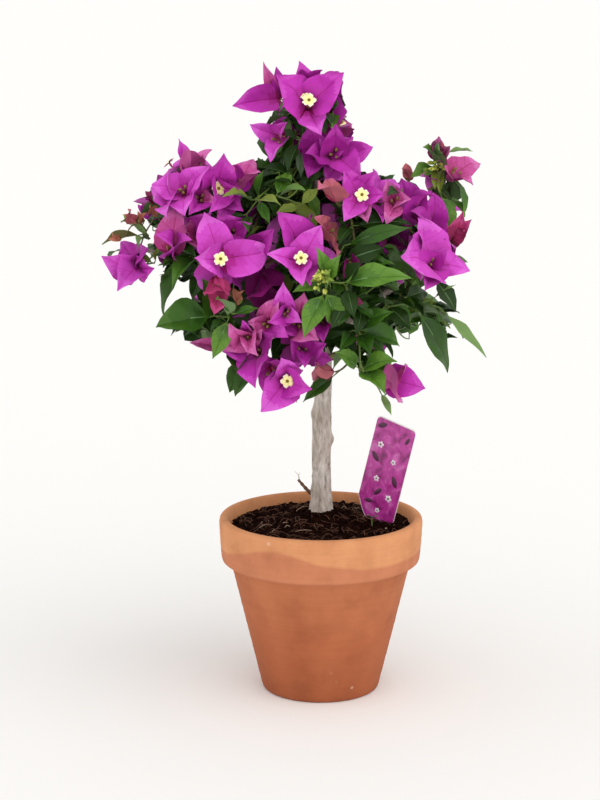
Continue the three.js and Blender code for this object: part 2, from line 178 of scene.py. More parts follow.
def vnoise(x, y, z, seed=0):
    """value noise, 0 to 1, on arrays"""
    fx, fy, fz = np.floor(x), np.floor(y), np.floor(z)
    u, v, w = x - fx, y - fy, z - fz
    u, v, w = (t * t * (3 - 2 * t) for t in (u, v, w))
    out = 0.0
    for i in (0, 1):
        for j in (0, 1):
            for k in (0, 1):
                h = hashed(fx + i, fy + j, fz + k, seed)
                out = out + h * (u if i else 1 - u) * (v if j else 1 - v) * (w if k else 1 - w)
    return out


def fbm(x, y, z, seed=0, octaves=3):
    total, amp, norm = 0.0, 1.0, 0.0
    for o in range(octaves):
        total = total + amp * vnoise(x * 2**o, y * 2**o, z * 2**o, seed + o * 17)
        norm += amp
        amp *= 0.5
    return total / norm


class Bag:
    """one joined mesh in the making: closed little pieces with a material each"""

    def __init__(self, name):
        self.name = name
        self.verts, self.quads, self.tris = [], [], []
        self.qm, self.tm = [], []
        self.quv, self.tuv = [], []
        self.count = 0
        self.faces = 0
        self.mats = []

    def slot(self, material):
        if material not in self.mats:
            self.mats.append(material)
        return self.mats.index(material)

    def put(self, verts, quads=None, qmats=None, quv=None, tris=None, tmats=None, tuv=None):
        verts = np.asarray(verts, float)
        if quads is not None and len(quads):
            self.quads.append(np.asarray(quads) + self.count)
            self.qm.append(np.asarray(qmats))
            self.quv.append(np.zeros((len(quads), 4, 2)) if quv is None else quv)
            self.faces += 2 * len(quads)
        if tris is not None and len(tris):
            self.tris.append(np.asarray(tris) + self.count)
            self.tm.append(np.asarray(tmats))
            self.tuv.append(np.zeros((len(tris), 3, 2)) if tuv is None else tuv)
            self.faces += len(tris)
        self.verts.append(verts)
        self.count += len(verts)

    def make(self, slot, sharp=1.4):
        verts = np.concatenate(self.verts) * MM
        q = np.concatenate(self.quads) if self.quads else np.zeros((0, 4), int)
        t = np.concatenate(self.tris) if self.tris else np.zeros((0, 3), int)
        loops = np.concatenate([q.ravel(), t.ravel()]).astype(np.int32)
        sizes = np.concatenate([np.full(len(q), 4), np.full(len(t), 3)])
        starts = np.concatenate([[0], np.cumsum(sizes)[:-1]]).astype(np.int32)
        mesh = bpy.data.meshes.new(self.name)
        mesh.vertices.add(len(verts))
        mesh.vertices.foreach_set("co", verts.ravel().astype(np.float32))
        mesh.loops.add(len(loops))
        mesh.loops.foreach_set("vertex_index", loops)
        mesh.polygons.add(len(sizes))
        mesh.polygons.foreach_set("loop_start", starts)
        mesh.polygons.foreach_set("loop_total", sizes.astype(np.int32))
        mi = np.concatenate([np.concatenate(self.qm) if self.qm else np.zeros(0, int), np.concatenate(self.tm) if self.tm else np.zeros(0, int)])
        mesh.polygons.foreach_set("material_index", mi.astype(np.int32))
        mesh.polygons.foreach_set("use_smooth", np.ones(len(sizes), bool))
        uv = np.concatenate([np.concatenate(self.quv).reshape(-1, 2) if self.quv else np.zeros((0, 2)), np.concatenate(self.tuv).reshape(-1, 2) if self.tuv else np.zeros((0, 2))])
        layer = mesh.uv_layers.new(name="UVMap")
        layer.data.foreach_set("uv", uv.ravel().astype(np.float32))
        for m in self.mats:
            mesh.materials.append(m)
        mesh.update(calc_edges=True)
        mesh.validate(verbose=False)
        if sharp:
            mesh.set_sharp_from_angle(angle=sharp)
        ob = bpy.data.objects.new(self.name, mesh)
        scene.collection.objects.link(ob)
        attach(ob, "root")
        return ob


def tube(bag, path, radii, material, sides=8, flare=None, uvs=None):
    """a closed tapering tube with round ends along a path of points, in mm"""
    path = np.asarray(path, float)
    n = len(path)
    radii = np.broadcast_to(np.asarray(radii, float), (n,)).copy()
    tan = np.gradient(path, axis=0)
    tan /= np.linalg.norm(tan, axis=1)[:, None] + 1e-12
    side = np.cross(tan[0], UP)
    if np.linalg.norm(side) < 0.1:
        side = np.cross(tan[0], [1.0, 0, 0])
    side = unit(side)
    rings, ns = [], []
    for i in range(n):
        side = unit(side - tan[i] * np.dot(side, tan[i]))
        ns.append((side, np.cross(tan[i], side)))
    ang = np.arange(sides) * 2 * math.pi / sides
    c, s = np.cos(ang)[:, None], np.sin(ang)[:, None]
    for i in range(n):
        a, b = ns[i]
        rings.append(path[i] + radii[i] * (c * a + s * b))
    # round ends
    start = path[0] - tan[0] * radii[0] * 0.6
    end = path[-1] + tan[-1] * radii[-1] * 0.6
    verts = np.concatenate(rings + [start[None], end[None]])
    j = np.arange(sides)
    k = (j + 1) % sides
    quads = np.concatenate([np.stack([i * sides + j, i * sides + k, (i + 1) * sides + k, (i + 1) * sides + j], 1) for i in range(n - 1)])
    tris = np.concatenate([np.stack([np.full(sides, n * sides), k, j], 1), np.stack([np.full(sides, n * sides + 1), (n - 1) * sides + j, (n - 1) * sides + k], 1)])
    m = material if isinstance(material, (list, tuple, np.ndarray)) else None
    if m is None:
        s_ = bag.slot(material)
        qm = np.full(len(quads), s_)
        tm = np.full(len(tris), s_)
    else:
        per = [bag.slot(x) for x in m]
        qm = np.repeat([per[min(len(per) - 1, int(i * len(per) / (n - 1)))] for i in range(n - 1)], sides)
        tm = np.concatenate([np.full(sides, per[0]), np.full(sides, per[-1])])
    u = np.stack([j / sides, (j + 1) / sides], 1)
    quv = np.concatenate([np.stack([np.stack([u[:, 0], np.full(sides, i / n)], 1), np.stack([u[:, 1], np.full(sides, i / n)], 1), np.stack([u[:, 1], np.full(sides, (i + 1) / n)], 1), np.stack([u[:, 0], np.full(sides, (i + 1) / n)], 1)], 1) for i in range(n - 1)])
    bag.put(verts, quads, qm, quv, tris, tm)


def bezier(p0, p1, p2, p3, n):
    t = np.linspace(0, 1, n)[:, None]
    return (1 - t) ** 3 * p0 + 3 * (1 - t) ** 2 * t * p1 + 3 * (1 - t) * t * t * p2 + t**3 * p3


# ------------------------------------------------------------------ materials of the plant: plain base colours, relief from nodes
def leafy_material(name, rgb, rough, crinkle, spec=0.45, sheen=0.0, scale=700.0, coat=0.0):
    m, nt, bsdf = nodes_of(name)
    bsdf.inputs["Base Color"].default_value = lin(rgb)
    bsdf.inputs["Roughness"].default_value = rough
    bsdf.inputs["Specular IOR Level"].default_value = spec
    if sheen:
        bsdf.inputs["Sheen Weight"].default_value = sheen
        bsdf.inputs["Sheen Roughness"].default_value = 0.4
    if coat:
        bsdf.inputs["Coat Weight"].default_value = coat
        bsdf.inputs["Coat Roughness"].default_value = 0.3
    co = add(nt, "ShaderNodeTexCoord")
    no = add(nt, "ShaderNodeTexNoise", Scale=scale, Detail=3.0, Roughness=0.6)
    nt.links.new(co.outputs["Object"], no.inputs["Vector"])
    vo = add(nt, "ShaderNodeTexVoronoi", Scale=scale * 1.2)
    vo.feature = "DISTANCE_TO_EDGE"
    nt.links.new(co.outputs["Object"], vo.inputs["Vector"])
    bump_chain(nt, bsdf, [(vo.outputs["Distance"], crinkle * 0.6, 0.0002), (no.outputs["Fac"], crinkle, 0.0003)])
    return m


# B1 to B4 step from a lit to a shaded copy of one magenta: partly tone that varies from bloom to bloom, partly painted
# shade for blooms that lie in shadow
BRACT = {
    "B1": (205, 74, 193),
    "B2": (187, 50, 172),
    "B3": (164, 34, 148),
    "B4": (118, 6, 92),
    "B5": (206, 96, 190),
    "B6": (172, 52, 104),
    "B7": (190, 104, 114),
    "B8": (132, 40, 84),
    "B9": (198, 84, 154),
}
BRACT_NEXT = {"B1": "B2", "B2": "B3", "B3": "B4", "B4": "B4", "B5": "B1", "B6": "B8", "B7": "B6", "B8": "B4", "B9": "B2"}
# L1 to L4 and L0 step from a lit to a shaded copy of one green: partly tone that varies from leaf to leaf, the darkest
# (L4, L0) painted shade for leaves deep in the crown
LEAF = {
    "L1": (92, 132, 44),
    "L2": (60, 102, 24),
    "L3": (46, 84, 14),
    "L4": (32, 60, 10),
    "L0": (20, 38, 10),
    "L5": (132, 158, 66),
    "Y1": (204, 208, 104),
    "L6": (116, 148, 84),
    "L7": (122, 138, 54),
    "L8": (96, 92, 44),
    "L9": (86, 108, 76),
    "O1": (184, 120, 96),
}
mats = {k: leafy_material("bract_" + k, v, 0.6, 0.30, spec=0.16, sheen=0.04) for k, v in BRACT.items()}
mats.update({k: leafy_material("leaf_" + k, v, 0.46, 0.22, spec=0.24, scale=900.0) for k, v in LEAF.items()})
# darker toward the stalk, a deeper colour with painted shade of the bloom's heart; lighter toward the margin, a painted
# highlight
for key, deep, mid, pale in (
    ("B1", (184, 38, 152), (198, 60, 180), (213, 92, 204)),
    ("B2", (162, 26, 132), (178, 40, 158), (196, 64, 182)),
    ("B3", (142, 20, 118), (156, 28, 138), (171, 42, 156)),
    ("B9", (168, 44, 104), (186, 66, 136), (208, 104, 172)),
    ("B5", (184, 60, 156), (198, 80, 180), (214, 112, 202)),
    ("B6", (160, 36, 84), (174, 46, 102), (194, 68, 130)),
    ("B7", (166, 60, 84), (180, 74, 104), (200, 100, 130)),
):
    for tail, rgb in (("d", deep), ("m", mid), ("l", pale)):
        mats[key + tail] = leafy_material("bract_" + key + tail, rgb, 0.58, 0.3, spec=0.3, sheen=0.12)
# the greens' tones likewise: darker toward the stalk as painted shade, lighter toward the margin as painted highlight
for key, deep, mid, pale in (
    ("L1", (62, 102, 28), (74, 116, 34), (94, 134, 48)),
    ("L2", (44, 84, 18), (52, 94, 22), (70, 110, 32)),
    ("L3", (34, 66, 12), (38, 72, 14), (52, 88, 22)),
    ("L5", (104, 134, 50), (120, 148, 58), (142, 166, 76)),
):
    for tail, rgb in (("d", deep), ("m", mid), ("l", pale)):
        mats[key + tail] = leafy_material("leaf_" + key + tail, rgb, 0.46, 0.22, spec=0.32, scale=900.0)
mats["rib_bract"] = leafy_material("bract_rib", (158, 26, 112), 0.6, 0.3, spec=0.3)
mats["heart"] = leafy_material("bract_heart", (134, 16, 84), 0.6, 0.3, spec=0.3)
mats["rib_light"] = leafy_material("leaf_rib_light", (116, 158, 98), 0.45, 0.2)
# rib_mid and under_dark go with the dark greens and carry their painted shade
mats["rib_mid"] = leafy_material("leaf_rib_mid", (84, 122, 66), 0.45, 0.2)
mats["under"] = leafy_material("leaf_under", (104, 134, 84), 0.55, 0.25, spec=0.3)
mats["under_dark"] = leafy_material("leaf_under_dark", (74, 102, 56), 0.55, 0.25, spec=0.3)
mats["cream"] = leafy_material("flower_cream", (250, 244, 164), 0.55, 0.15, spec=0.3, sheen=0.1)
mats["cream_edge"] = leafy_material("flower_edge", (252, 236, 226), 0.55, 0.15, spec=0.3, sheen=0.1)
mats["cream_pale"] = leafy_material("flower_cream_pale", (252, 244, 196), 0.55, 0.15, spec=0.3, sheen=0.1)
mats["star_olive"] = leafy_material("flower_olive", (196, 188, 92), 0.55, 0.15, spec=0.3)
mats["throat"] = leafy_material("flower_throat", (142, 126, 34), 0.6, 0.2)
mats["tube_pink"] = leafy_material("tube_pink", (196, 92, 138), 0.5, 0.25)
mats["tube_red"] = leafy_material("tube_red", (140, 30, 70), 0.5, 0.25)
mats["tube_olive"] = leafy_material("tube_olive", (130, 116, 58), 0.5, 0.25)
mats["tube_dark"] = leafy_material("tube_dark", (88, 18, 58), 0.5, 0.25)
mats["stem_green"] = leafy_material("stem_green", (96, 122, 50), 0.5, 0.4, scale=500)
mats["stem_olive"] = leafy_material("stem_olive", (112, 104, 62), 0.55, 0.5, scale=500)
mats["stem_brown"] = leafy_material("stem_brown", (104, 80, 58), 0.65, 0.6, scale=450)


# ------------------------------------------------------------------ one blade: a bract or a leaf
OUTLINE = {
    "bract": ([0, 0.03, 0.08, 0.16, 0.26, 0.36, 0.48, 0.6, 0.72, 0.82, 0.9, 0.96, 1], [0.10, 0.34, 0.62, 0.88, 1.0, 1.0, 0.93, 0.79, 0.58, 0.37, 0.19, 0.08, 0.02]),
    "leaf": ([0, 0.04, 0.1, 0.2, 0.32, 0.43, 0.55, 0.67, 0.78, 0.87, 0.94, 1], [0.05, 0.16, 0.42, 0.78, 0.98, 1.0, 0.90, 0.69, 0.44, 0.23, 0.10, 0.02]),
}
ROWS = {
    2: [0, 0.03, 0.08, 0.14, 0.16, 0.235, 0.31, 0.33, 0.405, 0.48, 0.50, 0.575, 0.65, 0.67, 0.735, 0.80, 0.82, 0.88, 0.94, 0.975, 1],
    1: [0, 0.05, 0.15, 0.175, 0.26, 0.36, 0.385, 0.47, 0.57, 0.595, 0.68, 0.77, 0.795, 0.88, 0.95, 1],
    0: [0, 0.08, 0.22, 0.4, 0.58, 0.76, 0.9, 1],
    3: [0, 0.1, 0.3, 0.56, 0.8, 1],
}
VEINS = {2: (4, 7, 10, 13, 16), 1: (3, 6, 9, 12), 0: (), 3: ()}
COLS = {2: [-1, -0.86, -0.66, -0.45, -0.24, -0.034, 0, 0.034, 0.24, 0.45, 0.66, 0.86, 1], 1: [-1, -0.64, -0.28, -0.04, 0.04, 0.28, 0.64, 1], 0: [-1, -0.55, -0.05, 0.05, 0.55, 1], 3: [-1, -0.05, 0.05, 1]}
TOPO = {}
for res in (0, 1, 2, 3):
    S0 = np.array(ROWS[res])[:, None]
    T0 = np.array(COLS[res])[None, :]
    S = S0 + 0.15 * np.abs(T0) * np.sin(math.pi * S0)
    T = T0 + 0 * S0
    nr, nc = S.shape
    top = np.arange(nr * nc).reshape(nr, nc)
    bottom = top.copy()
    inner = np.zeros((nr, nc), bool)
    inner[1:-1, 1:-1] = True
    bottom[inner] = nr * nc + np.arange(inner.sum())
    i, j = np.meshgrid(np.arange(nr - 1), np.arange(nc - 1), indexing="ij")
    i, j = i.ravel(), j.ravel()
    qt = np.stack([top[i, j], top[i, j + 1], top[i + 1, j + 1], top[i + 1, j]], 1)
    qb = np.stack([bottom[i, j], bottom[i + 1, j], bottom[i + 1, j + 1], bottom[i, j + 1]], 1)
    uv = np.stack([T * 0.5 + 0.5, S], 2).reshape(-1, 2)
    # the part of a blade each face belongs to: 0 main, 1 rib, 2 vein, 3 heart near the stalk
    mid_s = (S0[:-1, 0] + S0[1:, 0])[i] / 2
    mid_t = (T0[0, :-1] + T0[0, 1:])[j] / 2
    part = np.zeros(len(i), int)
    part[np.isin(i, np.array(VEINS[res]) - 0)] = 2
    is_vein_strip = np.isin(i, [v - 1 for v in VEINS[res]])
    part[:] = 0
    part[is_vein_strip] = 2
    part[(mid_s < 0.24) & (np.abs(mid_t) < 0.75)] = 6
    part[(mid_s < 0.11)] = 3
    part[np.abs(mid_t) < 0.06] = 1
    relief = np.zeros((nr, nc))
    for v in VEINS[res]:
        relief[v - 1] = relief[v] = -1.0
    puff = [r for r in range(1, nr - 1) if relief[r, 0] == 0 and S0[r, 0] > 0.1]
    for r in puff:
        relief[r] = 0.8
    relief = relief * (1 - np.abs(T) ** 3) * (np.abs(T) > 0.1)
    TOPO[res] = dict(S=S, T=T, nr=nr, nc=nc, inner=inner, qt=qt, qb=qb, uv=uv, part=part, mid_s=mid_s, mid_t=mid_t, relief=relief)


def blade(bag, base, tip, face, width, shape, tints, rnd, res=1, arch=0.6, fold=12.0, twist=0.0, wave=0.5, thick=0.28, cup=0.0, flick=0.0, rough=1.0):
    """A thin closed blade from base to tip, in mm. face is roughly the way its upper side looks.
    tints: main, rib, vein, heart, underside, rib of the underside."""
    g = TOPO[res]
    S, T = g["S"], g["T"]
    base, tip = np.asarray(base, float), np.asarray(tip, float)
    L = np.linalg.norm(tip - base)
    d = (tip - base) / L
    n = np.asarray(face, float)
    n = n - d * np.dot(n, d)
    if np.linalg.norm(n) < 0.05:
        n = np.cross(d, [1.0, 0.2, 0.1])
    n = unit(n)
    b = np.cross(d, n)
    # centre line: an arch, with a flick of the tip
    s = np.linspace(0, 1, 61)
    theta = -arch * (s - 0.5) - flick * np.clip(s - 0.72, 0, 1) * 3.0
    x = np.concatenate([[0], np.cumsum(np.cos(theta[:-1] / 1) / 60)])
    z = np.concatenate([[0], np.cumsum(np.sin(theta[:-1] / 1) / 60)])
    a = math.atan2(z[-1], x[-1])
    k = L / math.hypot(x[-1], z[-1])
    x, z = k * (x * math.cos(a) + z * math.sin(a)), k * (-x * math.sin(a) + z * math.cos(a))
    theta = theta - a
    X, Z, TH = np.interp(S, s, x), np.interp(S, s, z), np.interp(S, s, theta)
    xs, ws = OUTLINE[shape]
    half = np.interp(S, xs, ws) * width / 2
    side = np.where(T < 0, -1.0, 1.0)
    # uneven halves and a wavy margin
    sd = rnd.randrange(1 << 20)
    half = half * (1 + 0.06 * side * rnd.uniform(-1, 1) + 0.13 * (vnoise(S * 6.5, side * 3 + 5, 0 * S, sd) - 0.5))
    phase = [rnd.uniform(0, 6.28) for _ in range(3)]
    waves = np.sin(S * (9 + 3 * rnd.random()) + phase[0] + side * 1.3) + 0.6 * np.sin(S * 17 + phase[1] + side * 0.7)
    h = half * (math.tan(math.radians(fold)) * np.abs(T) + cup * T * T * (1 - S)) + wave * waves * np.abs(T) ** 1.6 * np.sin(math.pi * np.clip(S, 0, 1)) ** 0.5
    h = h + g["relief"] * (0.16 if shape == "bract" else 0.2) * np.clip(half / (width / 2), 0, 1) * (width / 22)
    rib = np.abs(T) < 0.02
    h = h - 0.12 * rib
    env = np.sin(math.pi * np.clip(S, 0, 1)) ** 0.6
    h = h + rough * width / 22 * env * (2.6 * (vnoise(S * 3.4, T * 1.5 + 4, 0 * S, sd + 1) - 0.5) + 1.3 * (vnoise(S * 7.5, T * 3.2 + 9, 0 * S, sd + 2) - 0.5))
    tau = math.radians(twist) * (S - 0.4)
    n2 = -np.sin(TH)[..., None] * d + np.cos(TH)[..., None] * n
    across = np.cos(tau)[..., None] * b + np.sin(tau)[..., None] * n2
    lift = np.cos(tau)[..., None] * n2 - np.sin(tau)[..., None] * b
    P = base + X[..., None] * d + Z[..., None] * n + (half * T)[..., None] * across + h[..., None] * lift
    bot = P[g["inner"]] - (lift * thick)[g["inner"]]
    verts = np.concatenate([P.reshape(-1, 3), bot])
    tm = [bag.slot(mats[t]) for t in tints]
    rib_to = 0.72 if shape == "bract" else 0.9
    top_m = np.array(tm)[g["part"]]
    if len(tints) > 7:
        # tones from the heart outwards, from a deeper colour with painted shade to a painted highlight, each step
        # small, its edge broken by chance
        tone = g["mid_s"] * 1.25 + 0.42 * np.abs(g["mid_t"]) + 0.16 * (vnoise(g["mid_s"] * 3.0, g["mid_t"] * 1.4 + 7, 0 * g["mid_s"], sd + 5) - 0.5)
        steps = np.digitize(tone, (0.30, 0.62, 0.98))
        scale = np.array([tm[6], tm[7], tm[0], tm[8]])[steps]
        top_m = np.where(g["part"] == 0, scale, top_m)
        top_m = np.where(g["part"] == 2, np.where(g["mid_s"] < 0.6, tm[7], scale), top_m)
        top_m = np.where((g["part"] == 6), np.where(tone < 0.42, tm[6], tm[7]), top_m)
        top_m = np.where((g["part"] == 1) & (g["mid_s"] > 0.34), tm[6], top_m)
    top_m = np.where((g["part"] == 1) & (g["mid_s"] > rib_to), tm[0], top_m)
    under_part = np.where((g["part"] == 1) & (g["mid_s"] < 0.8), 5, 4)
    bot_m = np.array(tm)[under_part]
    uv_all = np.concatenate([g["uv"], g["uv"][g["inner"].ravel()]])
    quads = np.concatenate([g["qt"], g["qb"]])
    bag.put(verts, quads, np.concatenate([top_m, bot_m]), uv_all[quads])
    return L


# tints of a blade: main, rib, vein, heart (deeper colour and painted shade), underside, rib of the underside, zone
# above the heart (deeper colour and painted shade), next to main, lighter than main (painted highlight)
def bract_tints(t):
    nxt = BRACT_NEXT[t]
    bright = t in ("B1", "B2", "B3", "B5", "B9")
    row = (t, "rib_bract" if bright else nxt, t, "heart" if bright else nxt, "B5" if t == "B1" else t, "B9" if t in ("B1", "B2", "B3") else nxt)
    if t + "d" in mats:
        return row + (t + "d", t + "m", t + "l")
    return row + (nxt,)


def leaf_tints(t):
    light = t in ("L1", "L5", "L6", "L7")
    row = (t, "rib_light" if light or t == "L2" else "rib_mid", t, t, "under" if light else "under_dark", "rib_light" if light else "rib_mid")
    if t + "d" in mats:
        return row + (t + "d", t + "m", t + "l")
    return row + (t,)


# ------------------------------------------------------------------ the branching rule
def axis_of(az, el):
    a, e = math.radians(az), math.radians(el)
    return np.array([math.sin(a) * math.cos(e), -math.cos(a) * math.cos(e), math.sin(e)])


def basis(a):
    e2 = UP - a * a[2]
    n = np.linalg.norm(e2)
    e2 = e2 / n if n > 1e-3 else np.array([0.0, 1.0, 0.0])
    return np.cross(e2, a), e2


STEP = {"bloom": 120.0, "leaf": 137.5, "bud": 120.0}


def node(kind, az, el, spin, spread, size, n, seed):
    """The blades at one node: n of them a fixed turn apart round the shoot's own direction, each one off by chance."""
    rnd = random.Random(seed)
    a = axis_of(az, el)
    e1, e2 = basis(a)
    out = []
    for i in range(n):
        j = [rnd.gauss(0, 1) for _ in range(6)]
        b = math.radians(spin + i * STEP[kind] + 15 * j[0])
        o = math.radians(spread + 9 * j[1])
        length = size * (1 + 0.13 * max(-1.8, min(1.8, j[2])))
        d = a * math.cos(o) + (e1 * math.cos(b) + e2 * math.sin(b)) * math.sin(o)
        if n == 1:
            d, length = a, size
        out.append((d, length, j))
    return a, out, rnd


# Masses as the frame holds them: each one's box and surface
MASS_BOX, MASS_TREE, MASS_MESH = {}, {}, {}
for name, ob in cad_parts.items():
    if name.endswith("_foliage"):
        key = name[: -len("_foliage")]
        lo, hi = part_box(name)
        MASS_BOX[key] = (np.array(lo) * 1000, np.array(hi) * 1000)
        co = np.zeros(len(ob.data.vertices) * 3, np.float32)
        ob.data.vertices.foreach_get("co", co)
        co = co.reshape(-1, 3).astype(float) * 1000
        ob.data.calc_loop_triangles()
        tri = np.zeros(len(ob.data.loop_triangles) * 3, np.int32)
        ob.data.loop_triangles.foreach_get("vertices", tri)
        tri = tri.reshape(-1, 3)
        MASS_MESH[key] = (co, tri)
        MASS_TREE[key] = BVHTree.FromPolygons([tuple(c) for c in co], [tuple(t) for t in tri])


def depth_in(p, reach=14.0):
    """how far inside the foliage a point lies, in mm; negative outside"""
    best = -99.0
    v = Vector(p)
    for key, (lo, hi) in MASS_BOX.items():
        if np.any(p < lo - reach) or np.any(p > hi + reach):
            continue
        loc, nor, _, dist = MASS_TREE[key].find_nearest(v)
        sign = 1.0 if (v - loc).dot(nor) < 0 else -1.0
        best = max(best, sign * dist)
    return best


